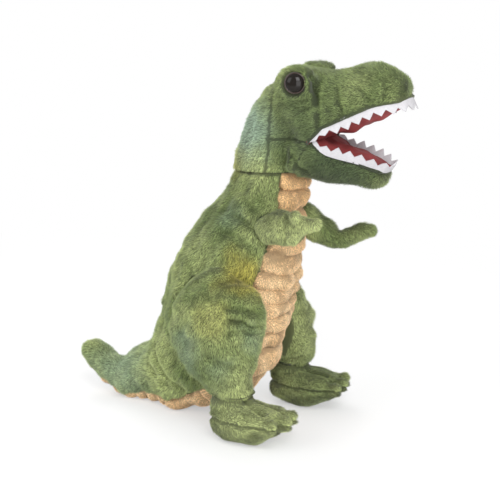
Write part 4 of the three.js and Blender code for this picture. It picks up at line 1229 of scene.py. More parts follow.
def make_arms(finishes):
    limb = limbs()
    for name, side in SIDES.items():
        root = PIVOT[f"arm_{name}_swing"]
        length, thick = limb.arm_length, limb.arm_thickness
        scale = np.array([side * length, -length, length])
        rows = np.array([(o, f, u, t * thick, t * thick) for o, f, u, t in ARM_SHARES[name]])
        rows[:, :3] = rows[:, :3] * scale + root
        rows[-3:, 3:] *= HAND_SLIM[name]
        arm = Rings(rows, 60, start_round=thick * 0.5, end_round=limb.arm_tip_round)
        forms = [closed_tube(arm.surface(around(48)), arm.start, arm.end)]
        for tip in CLAW_TIPS[name]:
            end = root + np.array(tip) * scale
            start = rows[-3, :3]
            claw = np.array([[*(start + (end - start) * t), w * CLAW_HALF, w * CLAW_HALF] for t, w in
                             ((0, 1.2), (0.5, 1.1), (0.85, 0.85))])
            bar = Rings(claw, 20, end_round=0.0025)
            forms.append(closed_tube(bar.surface(around(24)), bar.start, bar.end))
        whole = melt(forms, 0.001, 3)
        points, normals, triangles = arrays_of(whole)
        points = points + normals * (0.0006 * ripple(points, 0.016, 41) - 0.0010)[:, None]
        wrist = root[1] - HAND_START[name] * length - points[:, 1]
        points = pinch(points, normals, wrist, 0.0016, 0.0028)
        set_points(whole, points)
        nodes = (f"arm_{name}_skin", f"arm_{name}_stuffing")
        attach(put(f"arm_{name}_cloth", whole, finishes["green"], nodes), f"arm_{name}")
        share = np.linalg.norm(points - root, axis=1) > 0.006
        sheet = Sheet(points, share, triangles=triangles, normals=normals)
        hair = sheet.pile(f"arm_{name}_pile", True, arm_comb, finishes["green"], 131, length=0.0026, lean=62)
        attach(hair, f"arm_{name}")


def ellipsoid(centre, half, rows=40, columns=60):
    """Points at centre + half sizes x (cos along sin down, sin along sin down, cos down)."""
    down = np.linspace(0, np.pi, rows + 2)[1:-1, None]
    along = around(columns)[None]
    unit = np.stack([np.cos(along) * np.sin(down), -np.sin(along) * np.sin(down), np.cos(down) + 0 * along], axis=-1)
    centre, half = np.asarray(centre), np.asarray(half)
    pole = np.array([0, 0, half[2]])
    return closed_tube(centre + unit * half, centre + pole, centre - pole)


# The hood's middle: forward of the head's length and up of its height
HOOD_FORWARD, HOOD_UP = 0.28, 0.785


def hood_centre(side):
    h = head()
    forward = HOOD_FORWARD * h.length
    return np.array([side * h.hood_spread, PIVOT["neck_nod"][1] - forward, body().height + HOOD_UP * h.height])


def mouth_plane(tilt):
    """The mouth's corner and the upward normal of a plane through it."""
    return corner(), leaning(tilt)


UPPER_BOW, LOWER_BOW = 0.0052, 0.0034


def lip_bow(ahead, tilt):
    """How far a lip's edge bows off its plane ahead of the mouth's corner: the upper up, the lower down."""
    if tilt > 0:
        return UPPER_BOW * ease(ahead / 0.013) * (1 - ease((ahead - 0.046) / 0.026))
    return -LOWER_BOW * ease(ahead / 0.014) * (1 - ease((ahead - 0.012) / 0.030))


def head_forms():
    """Neck, skull, jaw and the padding round the eyes, with the mouth left open between two planes."""
    h = head()
    neck = Rings(neck_rows(), 60, end_round=h.crown_round)
    skull = Rings(skull_rows(), 90, facing=FORWARD, start_round=h.crown_round, end_round=h.nose_round)
    jaw = Rings(jaw_rows(), 60, facing=FORWARD, end_round=h.jaw_tip_round)
    at = corner()
    upper, lower = skull.surface(around(96)), jaw.surface(around(96))
    ahead = at[1] - upper[..., 1]
    floor = at[2] + ahead * math.tan(h.palate_tilt) + lip_bow(ahead, 1)
    upper[..., 2] = np.where(ahead > 0, np.maximum(upper[..., 2], floor), upper[..., 2])
    ahead = at[1] - lower[..., 1]
    roof = at[2] - ahead * math.tan(h.floor_tilt) + lip_bow(ahead, -1)
    lower[..., 2] = np.where(ahead > -0.004, np.minimum(lower[..., 2], roof), lower[..., 2])
    forms = [closed_tube(neck.surface(around(80)), neck.start, neck.end)]
    start, end = upper[0].mean(axis=0), upper[-1].mean(axis=0)
    forms.append(closed_tube(upper, start, end))
    forms.append(closed_tube(lower, lower[0].mean(axis=0), lower[-1].mean(axis=0)))
    half = (h.hood_width / 2, h.hood_length / 2, h.hood_height / 2)
    return forms + [ellipsoid(hood_centre(side), half) for side in SIDES.values()]


# Creases on one side of the head, as outward, back and up places
HEAD_FOLDS = [
    ([(0.026, -0.083, 0.287), (0.028, -0.089, 0.280), (0.029, -0.089, 0.273), (0.029, -0.086, 0.266)], 0.0038, 0.0030),
    ([(0.024, -0.100, 0.277), (0.026, -0.101, 0.270), (0.026, -0.104, 0.263), (0.026, -0.106, 0.256)], 0.0015, 0.0024),
    ([(0.028, -0.087, 0.262), (0.029, -0.089, 0.257), (0.029, -0.089, 0.252), (0.028, -0.088, 0.247)], 0.0017, 0.0024),
    ([(0.026, -0.091, 0.268), (0.027, -0.093, 0.262), (0.027, -0.097, 0.258)], 0.0012, 0.0022),
    ([(0.023, -0.118, 0.276), (0.024, -0.122, 0.273), (0.024, -0.126, 0.269)], 0.0012, 0.0022),
    ([(0.016, -0.136, 0.282), (0.018, -0.138, 0.275), (0.018, -0.137, 0.269)], 0.0012, 0.0022),
    ([(0.028, -0.067, 0.224), (0.028, -0.069, 0.218), (0.027, -0.071, 0.212), (0.024, -0.076, 0.207)], 0.0020, 0.0024),
    ([(0.028, -0.062, 0.231), (0.028, -0.063, 0.225), (0.027, -0.064, 0.217)], 0.0018, 0.0024),
    ([(0.029, -0.060, 0.262), (0.029, -0.074, 0.258), (0.029, -0.082, 0.262)], 0.0012, 0.0030),
]


def cheek_seam():
    """A point on the seam behind the cheek and its direction to the back."""
    h = head()
    tilt = h.cheek_seam_tilt
    point = np.array([0, PIVOT["neck_nod"][1] - h.cheek_seam_forward, body().height])
    return point, np.array([0, math.sin(tilt), math.cos(tilt)])


JAW_CUT = np.array([0, -0.87, -0.49]) / math.hypot(0.87, 0.49)
EYE_RADIUS, EYE_DOME, EYE_RIM, EYE_SINK = 0.0074, 0.0048, 0.0014, 0.0026
EYE_BARE = 0.0086
EYE_AIM_FORWARD, EYE_AIM_UP = math.radians(18), math.radians(6)


def eye_place(side):
    """Where an eye sits on its hood, and the direction that it looks in."""
    h = head()
    flat = math.cos(EYE_AIM_UP)
    aim = np.array([side * math.cos(EYE_AIM_FORWARD) * flat, -math.sin(EYE_AIM_FORWARD) * flat, math.sin(EYE_AIM_UP)])
    reach = 1 / np.linalg.norm(aim / (np.array([h.hood_width, h.hood_length, h.hood_height]) / 2))
    return hood_centre(side) + aim * (reach - EYE_SINK), aim


def head_cloth():
    """The whole head's skin before it is parted along its seams."""
    whole = melt(head_forms(), 0.0012, 7)
    points, normals, _ = arrays_of(whole)
    waves = 0.0009 * ripple(points, 0.03, 51) + 0.0003 * ripple(points, 0.012, 52) - PILE_ROOM
    points = points + normals * np.where(in_mouth(points, normals), 0.0004, waves)[:, None]
    for side in SIDES.values():
        for path, depth, width in HEAD_FOLDS:
            points = crease(points, normals, np.array(path) * (side, 1, 1), depth, width)
        seat, aim = eye_place(side)
        off = points - seat
        ahead = off @ aim
        away = np.linalg.norm(off - ahead[:, None] * aim, axis=1)
        facing = ease((normals @ aim) * 2) * ease(1 + ahead / 0.02)
        lid = 0.0022 * np.exp(-(((away - 0.0108) / 0.0024) ** 2)) - 0.0026 * ease((0.0094 - away) / 0.002)
        points = points + normals * (lid * facing)[:, None]
    seam, back = cheek_seam()
    points = pinch(points, normals, off_plane(points, seam, back), 0.0015, 0.0018)
    beside = points[:, 1] > corner()[1]
    ahead = off_plane(points, seam, back) < 0
    level = points[:, 2] - corner()[2]
    points = np.where((beside & ahead)[:, None], pinch(points, normals, level, 0.0013, 0.0016), points)
    bottom = points[:, 2] - body().height
    behind = points[:, 1] > corner()[1] + 0.012
    points = np.where(behind[:, None], pinch(points, normals, bottom, 0.0005, 0.0022), points)
    set_points(whole, points)
    return whole, normals


def make_head(finishes):
    whole, normals = head_cloth()
    at = corner()
    seam, back = cheek_seam()
    up, down = np.array([0, 0, 1.0]), np.array([0, 0, -1.0])
    neck = ((0, 0, body().height + 0.0002), down)
    panels = {
        "neck_back_cloth": ([(seam, -back), neck], ("neck_back_skin",), "head"),
        "head_cloth": ([(seam, back), (at, down)], ("head_skin", "head_stuffing"), "head"),
        "jaw_cloth": ([(at, up), (at, -JAW_CUT)], ("jaw_skin", "jaw_stuffing"), "jaw"),
    }
    for name, side in SIDES.items():
        planes = [(seam, back), (at, up), (at, JAW_CUT), ((0, 0, 0), (-side, 0, 0)), neck]
        panels[f"cheek_{name}_cloth"] = (planes, (f"cheek_{name}_skin",), "head")
    for name, (planes, nodes, rides) in panels.items():
        piece = put(name, trimmed(whole, planes, name), finishes["green"], nodes)
        if rides == "jaw":
            bend_jaw(piece)
        elif name == "head_cloth":
            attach(piece, rides)
        else:
            bend_nape(piece)
    points, _, triangles = arrays_of(whole)
    bpy.data.meshes.remove(whole)
    on_seam = np.abs(off_plane(points, seam, back)) < 0.0007
    on_seam |= (np.abs(points[:, 2] - at[2]) < 0.0007) & (points[:, 1] > at[1]) & (off_plane(points, seam, back) < 0)
    sheet = Sheet(points, ~(on_seam | in_mouth(points, normals) | by_eye(points)), normals=normals, triangles=triangles)
    on_jaw = (points[:, 2] < at[2]) & (off_plane(points, at, JAW_CUT) > 0)
    above_neck = points[:, 2] > body().height + 0.0008
    for name, side in SIDES.items():
        on_side = side * points[:, 0] > -HALF_OVERLAP
        bend_nape(sheet.pile(f"head_pile_{name}", on_side & ~on_jaw & above_neck, head_comb, finishes["green"], 141))
        bend_jaw(sheet.pile(f"jaw_pile_{name}", on_side & on_jaw, head_comb, finishes["green"], 142))


def head_comb(points):
    """The pile lies back along the head and down along the neck."""
    down = ease((0.245 - points[:, 2]) / 0.035) * ease((points[:, 1] + 0.062) / 0.03)
    return (1 - down)[:, None] * (0, 1, -0.3) + down[:, None] * (0, 0.35, -1)


def in_mouth(points, normals):
    """Whether points lie on the mouth's roof or floor."""
    at = corner()
    h = head()
    inside = np.zeros(len(points), bool)
    for tilt, faces in ((h.palate_tilt, -1), (-h.floor_tilt, 1)):
        plane = leaning(tilt)
        near = np.abs(off_plane(points, at, plane)) < 0.0085
        inside |= near & (normals @ plane * faces > 0.45)
    return inside & (points[:, 1] < at[1] + 0.002)


def by_eye(points):
    """Whether points lie under an eye."""
    places = [eye_place(side)[0] for side in SIDES.values()]
    return np.logical_or.reduce([np.linalg.norm(points - place, axis=1) < EYE_BARE for place in places])


def bend_nape(piece):
    """Bakes the piece's place into its mesh."""
    _, y, _ = PIVOT["head_turn"]
    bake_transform(piece)


def bend_jaw(piece):
    """Bakes the piece's place into its mesh."""
    at = corner()
    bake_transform(piece)


def rim(rows, round_end, tilt, inset, start):
    """The line where a ring surface meets a mouth plane, inset from its cloth, from one corner round to the other.

    In each ring the plane lies at a share of the half depth, and the line is at sqrt(1 - share^2) of the half width.
    """
    rings = Rings(rows, 200, facing=FORWARD, end_round=round_end, cap_steps=16)
    at, normal = mouth_plane(tilt)
    rise = -(rings.centre - at) @ normal / (rings.deep @ normal) + lip_bow(at[1] - rings.centre[:, 1], tilt)
    share = rise / np.maximum((rings.half[:, 1] - inset) * rings.shrink, 1e-9)
    wide = (rings.half[:, 0] - inset) * rings.shrink * np.sqrt(np.maximum(1 - share**2, 0))
    points = rings.centre + rings.deep * rise[:, None]
    keep = (np.abs(share) < 1) & (points[:, 1] < at[1] - start * math.cos(tilt))
    points, wide = points[keep], wide[keep]
    right = points + np.array([-1.0, 0, 0]) * wide[:, None]
    left = points[::-1] + np.array([1.0, 0, 0]) * wide[::-1, None]
    return right, left, normal


def make_linings(finishes):
    h = head()
    for name, body_name, rows, end, tilt, sign, bulge in (
        ("palate_cloth", "head", skull_rows(), h.nose_round, h.palate_tilt, 1, 0.0085),
        ("mouth_floor_cloth", "jaw", jaw_rows(), h.jaw_tip_round, -h.floor_tilt, -1, 0.0040),
    ):
        right, _, normal = rim(rows, end, tilt, 0.0024, -0.002)
        right = right[:: max(1, len(right) // 70)]
        across = np.linspace(-1, 1, 60)
        outer = right[:, None] * (1, 1, 1) * np.stack([-across, 1 + 0 * across, 1 + 0 * across], axis=-1)
        along = ease(np.linspace(0, 1, len(right)) * 3)[:, None] * ease(np.linspace(1, 0, len(right)) * 3)[:, None]
        arch = (1 - across**2)[None] * bulge * along
        waves = 0.0005 * ripple(outer, 0.012, 61)
        middle = outer + normal * (sign * 0.0012)
        outer = outer - normal * (sign * (arch + waves + 0.0010))[..., None]
        inner = middle
        form = closed_slab(outer, inner)
        node = "palate_lining" if sign > 0 else "mouth_floor_lining"
        piece = put(name, form.mesh(name), finishes["red"], (node,))
        recalculate(piece.data)
        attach(piece, body_name)


def recalculate(mesh):
    bm = bmesh.new()
    bm.from_mesh(mesh)
    bmesh.ops.recalc_face_normals(bm, faces=bm.faces)
    bm.to_mesh(mesh)
    bm.free()


TOOTH_BAND, TOOTH_HEIGHT, TOOTH_PITCH, TOOTH_FELT, TOOTH_START = 0.0036, 0.0046, 0.0090, 0.0016, 0.0005


def make_teeth(finishes):
    h = head()
    for name, body_name, rows, end, tilt, away, lean in (
        ("upper_tooth_felt", "head", skull_rows(), h.nose_round, h.palate_tilt, -1, 0.0),
        ("lower_tooth_felt", "jaw", jaw_rows(), h.jaw_tip_round, -h.floor_tilt, 1, 20.0),
    ):
        inset = 0.0024 if away < 0 else 0.0007
        right, left, normal = rim(rows, end, tilt, inset, TOOTH_START)
        line = np.concatenate([right, left])[::6]
        length = even_steps(line, [0])[1]
        teeth = max(3, round(length / TOOTH_PITCH))
        along = np.linspace(0, 1, teeth * 16 + 1)
        at = smooth(line, even_steps(line, along)[0])
        onward = np.gradient(at, axis=0)
        onward /= np.linalg.norm(onward, axis=1)[:, None]
        stand = normal * away
        out = np.cross(onward, np.tile(stand, (len(at), 1)))
        out /= np.linalg.norm(out, axis=1)[:, None]
        middle = (at[0] + at[-1]) / 2
        out *= np.sign(np.einsum("ij,ij->i", out, at - middle))[:, None]
        from_end = np.minimum(along, 1 - along)
        taper = np.minimum(1, 0.22 + from_end / 0.2)
        angle = np.radians(lean) * np.minimum(1, from_end / 0.2)
        edge = stand * np.cos(angle)[:, None] + out * np.sin(angle)[:, None]
        out = out * np.cos(angle)[:, None] - stand * np.sin(angle)[:, None]
        rng = np.random.default_rng(71)
        size = np.interp(along * teeth, np.arange(teeth + 1), rng.uniform(0.85, 1.15, teeth + 1))
        point = 1 - np.abs(2 * ((along * teeth) % 1) - 1)
        height = (TOOTH_BAND + TOOTH_HEIGHT * point * size) * taper
        root = at - stand * 0.0012
        # Up the inner face, over the edge and down the outer face, thinner to the edge
        levels = np.concatenate([np.linspace(0, 1, 8), np.linspace(1, 0, 8)])
        sides = np.concatenate([-np.ones(8), np.ones(8)])
        thick = TOOTH_FELT / 2 * (1 - 0.45 * levels**2) * sides
        curl = 0.0005 * np.sin(along * teeth * 1.3)[:, None] * levels**2
        grid = (
            root[:, None]
            + edge[:, None] * (levels * (height[:, None] + 0.0012))[..., None]
            + out[:, None] * (thick + curl)[..., None]
        )
        mesh = closed_tube(grid, grid[0].mean(axis=0), grid[-1].mean(axis=0)).mesh(name)
        recalculate(mesh)
        node = "upper_teeth" if away < 0 else "lower_teeth"
        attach(put(name, mesh, finishes["felt"], (node,)), body_name)


def turned(profile, columns, place, aim):
    """A profile of radius and height, turned round an axis through place along aim."""
    profile = np.asarray(profile, float)
    aim = aim / np.linalg.norm(aim)
    side = np.cross([0, 0, 1.0], aim)
    side /= np.linalg.norm(side)
    up = np.cross(aim, side)
    angles = around(columns)
    spin = np.cos(angles)[:, None] * side + np.sin(angles)[:, None] * up
    grid = place + profile[1:-1, None, :1] * spin + profile[1:-1, None, 1:] * aim
    return closed_tube(grid, place + profile[0, 1] * aim, place + profile[-1, 1] * aim)


def make_eyes(finishes):
    for name, side in SIDES.items():
        place, aim = eye_place(side)
        arc = np.linspace(0, np.pi / 2, 24)
        inner = EYE_RADIUS - 0.0003
        dome = np.stack([inner * np.cos(arc), EYE_RIM + (EYE_DOME - EYE_RIM) * np.sin(arc)], axis=1)
        profile = np.concatenate([[(0, -0.011), (0.002, -0.011), (0.002, 0), (inner, 0)], dome])
        mesh = turned(profile, 72, place, aim).mesh(f"eye_{name}_dome")
        recalculate(mesh)
        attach(put(f"eye_{name}_dome", mesh, finishes["eye"], (f"eye_{name}",)), "head")
        ring = np.linspace(-np.pi, np.pi, 17)[:-1]
        tube = np.stack([EYE_RADIUS + 0.0007 * np.cos(ring), EYE_RIM + 0.0007 * np.sin(ring)], axis=1)
        mesh = ring_mesh(tube, 72, place, aim, f"eye_{name}_rim")
        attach(put(f"eye_{name}_rim", mesh, finishes["rim"]), "head")


def ring_mesh(section, columns, place, aim, name):
    """A closed section of radius and height, turned round an axis into a ring."""
    side = np.cross([0, 0, 1.0], aim)
    side /= np.linalg.norm(side)
    up = np.cross(aim, side)
    angles = around(columns)
    spin = np.cos(angles)[:, None] * side + np.sin(angles)[:, None] * up
    grid = place + section[None, :, :1] * spin[:, None] + section[None, :, 1:] * aim
    n, m = grid.shape[:2]
    i, j = np.arange(n)[:, None], np.arange(m)[None]
    a, b = i * m + j, i * m + (j + 1) % m
    c, d = (i + 1) % n * m + (j + 1) % m, (i + 1) % n * m + j
    quads = np.stack(np.broadcast_arrays(a, b, c, d), axis=-1).reshape(-1, 4)
    mesh = Form(grid.reshape(-1, 3), quads.tolist()).mesh(name)
    recalculate(mesh)
    return mesh


# Finishes


class DINOSAUR_PG_finish(bpy.types.PropertyGroup):
    """The colours of the cloths, felt and plastics"""

    green: colour("Green", "The pile's middle green", (0.36, 0.46, 0.14))
    # The mottling's darker green, also painted as shade over the head and on the left arm and foot
    dark_green: colour("Dark green", "The pile's shaded green", (0.165, 0.23, 0.075))
    # Painted as shade on the cheeks and the jaw
    deep_green: colour("Deep green", "The pile's darkest green", (0.105, 0.15, 0.06))
    # The mottling's light green, also painted as light on the right arm and foot and the left leg
    pale_green: colour("Pale green", "The pile's light green", (0.58, 0.66, 0.27))
    teal: colour("Teal", "The blue-green of the neck and the knees", (0.42, 0.58, 0.43))
    yellow: colour("Yellow green", "The warm green of the waist", (0.60, 0.53, 0.10))
    tan: colour("Tan", "The belly's pile", (0.98, 0.69, 0.385))
    red: colour("Mouth red", "The mouth's lining", (0.17, 0.025, 0.025))
    felt: colour("Felt white", "The teeth", (0.49, 0.48, 0.50))
    rim: colour("Eye rim", "The brown ring of an eye", (0.022, 0.012, 0.008))


# Dye on one side, mirrored to the other, and painted shade over the head and jaw: outward, back and up place, reach,
# colour and strength
DYE_AND_SHADE_SPOTS = [
    # Painted shade: the whole head darker green
    ((0.015, -0.095, 0.255), 0.088, "dark_green", 0.80),
    # Painted shade on the cheeks
    ((0.028, -0.068, 0.252), 0.040, "deep_green", 0.60),
    ((0.024, -0.028, 0.214), 0.024, "pale_green", 0.70),
    ((0.020, -0.028, 0.238), 0.036, "teal", 0.85),
    ((0.026, -0.010, 0.213), 0.022, "yellow", 0.45),
    ((0.042, -0.010, 0.172), 0.050, "dark_green", 0.50),
    ((0.040, -0.016, 0.178), 0.020, "teal", 0.30),
    ((0.046, -0.034, 0.130), 0.028, "yellow", 0.90),
    ((0.044, 0.014, 0.150), 0.026, "pale_green", 0.45),
    ((0.072, -0.020, 0.100), 0.024, "yellow", 0.45),
    ((0.072, -0.020, 0.092), 0.034, "pale_green", 0.35),
    ((0.070, -0.020, 0.055), 0.044, "dark_green", 0.70),
    ((0.062, -0.056, 0.085), 0.020, "teal", 0.35),
    ((0.072, 0.004, 0.073), 0.024, "teal", 0.35),
    ((0.076, -0.032, 0.058), 0.020, "teal", 0.25),
    ((0.020, 0.105, 0.030), 0.050, "teal", 0.45),
    # Painted shade on the jaw
    ((0.020, -0.098, 0.210), 0.055, "deep_green", 1.0),
    ((0.010, -0.135, 0.278), 0.026, "dark_green", 0.55),
    ((0.020, -0.064, 0.290), 0.016, "dark_green", 0.70),
    # Paler snout top, easing the head's painted shade
    ((0.026, -0.112, 0.282), 0.022, "pale_green", 0.25),
    ((0.026, -0.060, 0.222), 0.016, "dark_green", 0.40),
    ((0.054, -0.055, 0.020), 0.055, "pale_green", 0.60),
]
# Colour on one side alone: painted light on the right arm and foot and the left leg, and painted shade on the left arm
# and foot, where one side is lit and the other shaded; the right arm's cloth is also paler
SIDE_LIGHT_AND_SHADE_SPOTS = [
    ((-0.057, -0.048, 0.166), 0.036, "pale_green", 1.0),
    ((-0.055, -0.085, 0.175), 0.044, "pale_green", 1.0),
    ((-0.054, -0.055, 0.020), 0.060, "pale_green", 1.0),
    ((0.050, -0.090, 0.150), 0.050, "dark_green", 0.35),
    ((0.058, -0.030, 0.075), 0.050, "pale_green", 0.80),
    ((0.052, -0.055, 0.020), 0.040, "dark_green", 0.70),
]


def green_finish():
    """Green pile: broad mottling and dye spots on the toy's places, painted shade over the head and jaw, painted light
    and shade on the limbs of one side, and strands with painted shade, dark at the root and in hollows, pale at the
    tip.
    """
    f = bpy.context.scene.dinosaur_finish
    made = Finish("mottled_green_pile", Roughness=0.95, Sheen_Weight=0.12, Sheen_Roughness=0.5)
    place = made.mirrored(0.012)
    base = made.mix(made.noise(26, 3, place).step_between(0.34, 0.66), f.dark_green, f.pale_green)
    base = made.mix(0.35, base, f.green)
    base = made.mix(made.noise(70, 2, place).step_between(0.45, 0.75) * 0.5, base, f.pale_green)
    base = made.mix(made.noise(95, 2, place).step_between(0.50, 0.78) * 0.5, base, f.dark_green)
    # Dye spots, and painted shade on the head and jaw
    for at, reach, name, strength in DYE_AND_SHADE_SPOTS:
        base = made.mix(made.near(*at, reach, place) * strength, base, getattr(f, name))
    # Painted light on one side's limbs and painted shade on the other's
    for at, reach, name, strength in SIDE_LIGHT_AND_SHADE_SPOTS:
        base = made.mix(made.near(*at, reach) * strength, base, getattr(f, name))
    return made.wears(Base_Color=made.stranded(base, 0.46, 0.54, 0.60, 0.90)).bumped(made.noise(900, 3), 0.0003).material


def tan_finish():
    """Tan pile: faint mottling, a browner and darker neck end that is partly painted shade under the chin, and strands
    with painted shade, a little darker at the root and in the rib grooves.
    """
    f = bpy.context.scene.dinosaur_finish
    made = Finish("ribbed_tan_pile", Roughness=0.95, Sheen_Weight=0.12, Sheen_Roughness=0.5)
    shaded = [c * s for c, s in zip(f.tan, (0.84, 0.78, 0.72))]
    base = made.mix(made.noise(60, 3).step_between(0.3, 0.7), f.tan, shaded)
    # Browner and darker under the chin: partly the cloth's browner tone, partly painted shade under the head
    brown = [c * s for c, s in zip(f.tan, (0.84, 0.74, 0.62))]
    base = made.mix(made.near(0, -0.07, 0.205, 0.075), base, brown)
    return made.wears(Base_Color=made.stranded(base, 0.84, 0.30, 0.16, 0.85)).bumped(made.noise(900, 3), 0.0003).material


def red_finish():
    f = bpy.context.scene.dinosaur_finish
    made = Finish("mouth_cloth", Roughness=0.75)
    tone = made.noise(90, 3).step_between(0.3, 0.7)
    return made.wears(Base_Color=made.mix(tone, f.red, [c * 1.5 for c in f.red])).material


def felt_finish():
    f = bpy.context.scene.dinosaur_finish
    made = Finish("white_felt", Roughness=0.85)
    tone = made.noise(700, 4).step_between(0.35, 0.65)
    return made.wears(Base_Color=made.mix(tone, f.felt, [c * 0.93 for c in f.felt])).material


def eye_finish():
    made = Finish("black_eye", Roughness=0.06, Specular_IOR_Level=0.20)
    tone = made.noise(80, 1)
    return made.wears(Base_Color=made.mix(tone, (0.006, 0.005, 0.004), (0.011, 0.008, 0.006))).material


def rim_finish():
    f = bpy.context.scene.dinosaur_finish
    made = Finish("brown_rim", Roughness=0.3)
    tone = made.noise(300, 2)
    return made.wears(Base_Color=made.mix(tone, f.rim, [c * 1.6 for c in f.rim])).material


def washer_finish():
    made = Finish("moulded_washer", Roughness=0.5)
    tone = made.noise(200, 2)
    return made.wears(Base_Color=made.mix(tone, (0.75, 0.73, 0.68), (0.70, 0.68, 0.62))).material


FINISHES = {
    "green": ("mottled_green_pile", green_finish),
    "tan": ("ribbed_tan_pile", tan_finish),
    "red": ("mouth_cloth", red_finish),
    "felt": ("white_felt", felt_finish),
    "eye": ("black_eye", eye_finish),
    "rim": ("brown_rim", rim_finish),
    "washer": ("moulded_washer", washer_finish),
}


class Wardrobe(dict):
    """Finishes by short name, each made the first time that it is asked for."""

    def __missing__(self, key):
        name, maker = FINISHES[key]
        self[key] = bpy.data.materials.get(name) or maker()
        return self[key]


# Operators


class DINOSAUR_OT_body(bpy.types.Operator):
    """Makes the trunk, the tail and their ribbed panels"""

    bl_idname = "dinosaur.body"
    bl_label = "Trunk and tail"

    def execute(self, context):
        make_body(Wardrobe())
        return {"FINISHED"}


class DINOSAUR_OT_head(bpy.types.Operator):
    """Makes the head's panels and the jaw"""

    bl_idname = "dinosaur.head"
    bl_label = "Head and jaw"

    def execute(self, context):
        make_head(Wardrobe())
        return {"FINISHED"}


class DINOSAUR_OT_mouth(bpy.types.Operator):
    """Makes the mouth's linings and the felt teeth"""

    bl_idname = "dinosaur.mouth"
    bl_label = "Mouth and teeth"

    def execute(self, context):
        make_linings(Wardrobe())
        make_teeth(Wardrobe())
        return {"FINISHED"}


class DINOSAUR_OT_eyes(bpy.types.Operator):
    """Makes the glossy eyes with their rims, and dresses their washers"""

    bl_idname = "dinosaur.eyes"
    bl_label = "Eyes"

    def execute(self, context):
        finishes = Wardrobe()
        make_eyes(finishes)
        for name in SIDES:
            dress_node(f"eye_washer_{name}", finishes["washer"])
        return {"FINISHED"}


class DINOSAUR_OT_arms(bpy.types.Operator):
    """Makes the two arms"""

    bl_idname = "dinosaur.arms"
    bl_label = "Arms"

    def execute(self, context):
        make_arms(Wardrobe())
        return {"FINISHED"}


class DINOSAUR_OT_legs(bpy.types.Operator):
    """Makes the thighs, the feet and the soles"""

    bl_idname = "dinosaur.legs"
    bl_label = "Legs and feet"

    def execute(self, context):
        make_legs(Wardrobe())
        return {"FINISHED"}


class DINOSAUR_OT_stage(bpy.types.Operator):
    """Sets the floor, the lights, the background and the camera"""

    bl_idname = "dinosaur.stage"
    bl_label = "Stage"

    def execute(self, context):
        make_stage()
        return {"FINISHED"}


def dress_node(node, material):
    """Gives a CAD node's object another material."""
    obj = bpy.data.objects[node]
    obj.data.materials.clear()
    obj.data.materials.append(material)


# Stage

CAMERA_AIM = (0, -0.016, 0.140)
CAMERA_AWAY, CAMERA_ROUND, CAMERA_UP = 1.1, math.radians(-62), math.radians(12.5)


def make_lamp(name, place, aim, reach, watts, shade=(1, 1, 1)):
    """A square area lamp at place that points to aim."""
    data = bpy.data.lights.new(name, "AREA")
    data.size = reach
    data.energy = watts
    data.color = shade
    lamp = bpy.data.objects.new(name, data)
    lamp.location = place
    lamp.rotation_euler = (Vector(aim) - Vector(place)).to_track_quat("-Z", "Y").to_euler()
    bpy.context.scene.collection.objects.link(lamp)


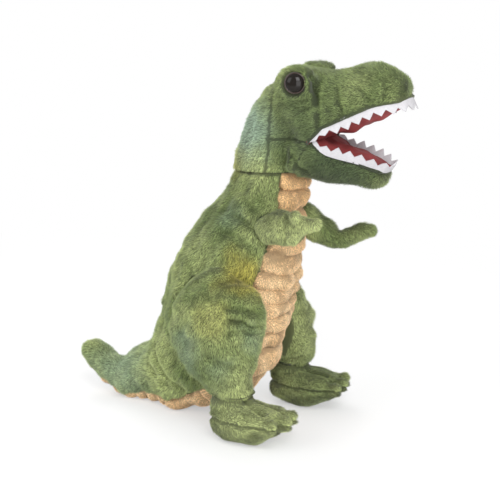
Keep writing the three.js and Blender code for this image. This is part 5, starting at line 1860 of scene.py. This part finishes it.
def make_stage():
    scene = bpy.context.scene
    scene.view_settings.view_transform = "Standard"
    flat = math.cos(CAMERA_UP)
    away = Vector((math.sin(CAMERA_ROUND) * flat, -math.cos(CAMERA_ROUND) * flat, math.sin(CAMERA_UP)))
    camera = bpy.data.objects.new("camera", bpy.data.cameras.new("camera"))
    camera.data.lens = 99
    camera.data.sensor_width = 36
    camera.location = Vector(CAMERA_AIM) + away * CAMERA_AWAY
    camera.rotation_euler = (-away).to_track_quat("-Z", "Y").to_euler()
    scene.collection.objects.link(camera)
    scene.camera = camera

    floor = bpy.data.meshes.new("floor")
    reach = 16
    corners = [(x * reach, y * reach, 0) for x, y in ((-1, -1), (1, -1), (1, 1), (-1, 1))]
    floor.from_pydata(corners, [], [(0, 1, 2, 3)])
    floor_object = bpy.data.objects.new("floor", floor)
    scene.collection.objects.link(floor_object)
    pale = Finish("pale_floor", Roughness=0.9)
    tone = pale.noise(3, 2)
    pale.wears(Base_Color=pale.mix(tone, (0.86, 0.86, 0.86), (0.87, 0.87, 0.87)))
    white = pale.node("ShaderNodeEmission", {}, {"Color": (1, 1, 1, 1), "Strength": 1.0})
    seen_by = ("Is Camera Ray", "Is Transmission Ray")
    rays = [pale.node("ShaderNodeLightPath", {}, {}, name) for name in seen_by]
    away = 1 - pale.near(0, 0.03, 0, 0.75)
    share = (rays[0] + rays[1]) * (0.45 + 0.55 * away)
    both = pale.node("ShaderNodeMixShader", {}, {0: share, 1: Value(pale, pale.shader.outputs[0]), 2: white})
    pale.tree.links.new(both.socket, pale.out.inputs["Surface"])
    floor.materials.append(pale.material)

    world = bpy.data.worlds.new("studio")
    world.use_nodes = True
    tree = world.node_tree
    tree.nodes.clear()
    out = tree.nodes.new("ShaderNodeOutputWorld")
    light, back = tree.nodes.new("ShaderNodeBackground"), tree.nodes.new("ShaderNodeBackground")
    light.inputs["Color"].default_value = (1, 1, 1, 1)
    light.inputs["Strength"].default_value = 0.74
    back.inputs["Color"].default_value = (1, 1, 1, 1)
    back.inputs["Strength"].default_value = 1
    path = tree.nodes.new("ShaderNodeLightPath")
    seen = tree.nodes.new("ShaderNodeMath")
    seen.operation = "MAXIMUM"
    tree.links.new(path.outputs["Is Camera Ray"], seen.inputs[0])
    tree.links.new(path.outputs["Is Transmission Ray"], seen.inputs[1])
    choose = tree.nodes.new("ShaderNodeMixShader")
    tree.links.new(seen.outputs[0], choose.inputs[0])
    tree.links.new(light.outputs[0], choose.inputs[1])
    tree.links.new(back.outputs[0], choose.inputs[2])
    tree.links.new(choose.outputs[0], out.inputs[0])
    scene.world = world

    aim = (0, 0, 0.15)
    make_lamp("key_lamp", (-1.0, -0.8, 1.15), aim, 0.7, 13)
    make_lamp("front_lamp", (-1.0, -0.9, 0.30), (0, 0, 0.1), 0.8, 7.5)
    make_lamp("side_lamp", (-1.2, 0.7, 0.9), aim, 0.9, 7)
    make_lamp("back_lamp", (0.8, 0.9, 1.1), aim, 0.8, 6)


class DINOSAUR_PT_panel(bpy.types.Panel):
    """Lists the sizes, the colours and the pieces"""

    bl_idname = "DINOSAUR_PT_panel"
    bl_label = "Stuffed dinosaur"
    bl_space_type = "VIEW_3D"
    bl_region_type = "UI"
    bl_category = "Dinosaur"

    def draw(self, context):
        layout = self.layout
        for settings in GROUPS:
            column = layout.column(align=True)
            column.label(text=GROUPS[settings].__doc__)
            group = getattr(context.scene, settings)
            for name in group.bl_rna.properties.keys():
                if name not in {"rna_type", "name"}:
                    column.prop(group, name)
        for operator in OPERATORS:
            layout.operator(operator.bl_idname, text=operator.bl_label)


GROUPS = {
    "dinosaur_body": DINOSAUR_PG_body,
    "dinosaur_head": DINOSAUR_PG_head,
    "dinosaur_limbs": DINOSAUR_PG_limbs,
    "dinosaur_finish": DINOSAUR_PG_finish,
}
OPERATORS = [
    DINOSAUR_OT_stage,
    DINOSAUR_OT_body,
    DINOSAUR_OT_head,
    DINOSAUR_OT_mouth,
    DINOSAUR_OT_eyes,
    DINOSAUR_OT_arms,
    DINOSAUR_OT_legs,
]


def register():
    for group in GROUPS.values():
        bpy.utils.register_class(group)
    for settings, group in GROUPS.items():
        setattr(bpy.types.Scene, settings, PointerProperty(type=group))
    for made in OPERATORS + [DINOSAUR_PT_panel]:
        bpy.utils.register_class(made)


def unregister():
    for made in [DINOSAUR_PT_panel] + OPERATORS[::-1]:
        bpy.utils.unregister_class(made)
    for settings, group in GROUPS.items():
        delattr(bpy.types.Scene, settings)
        bpy.utils.unregister_class(group)


def main():
    register()
    for operator in OPERATORS:
        group, name = operator.bl_idname.split(".")
        getattr(getattr(bpy.ops, group), name)()


if __name__ == "__main__":
    main()
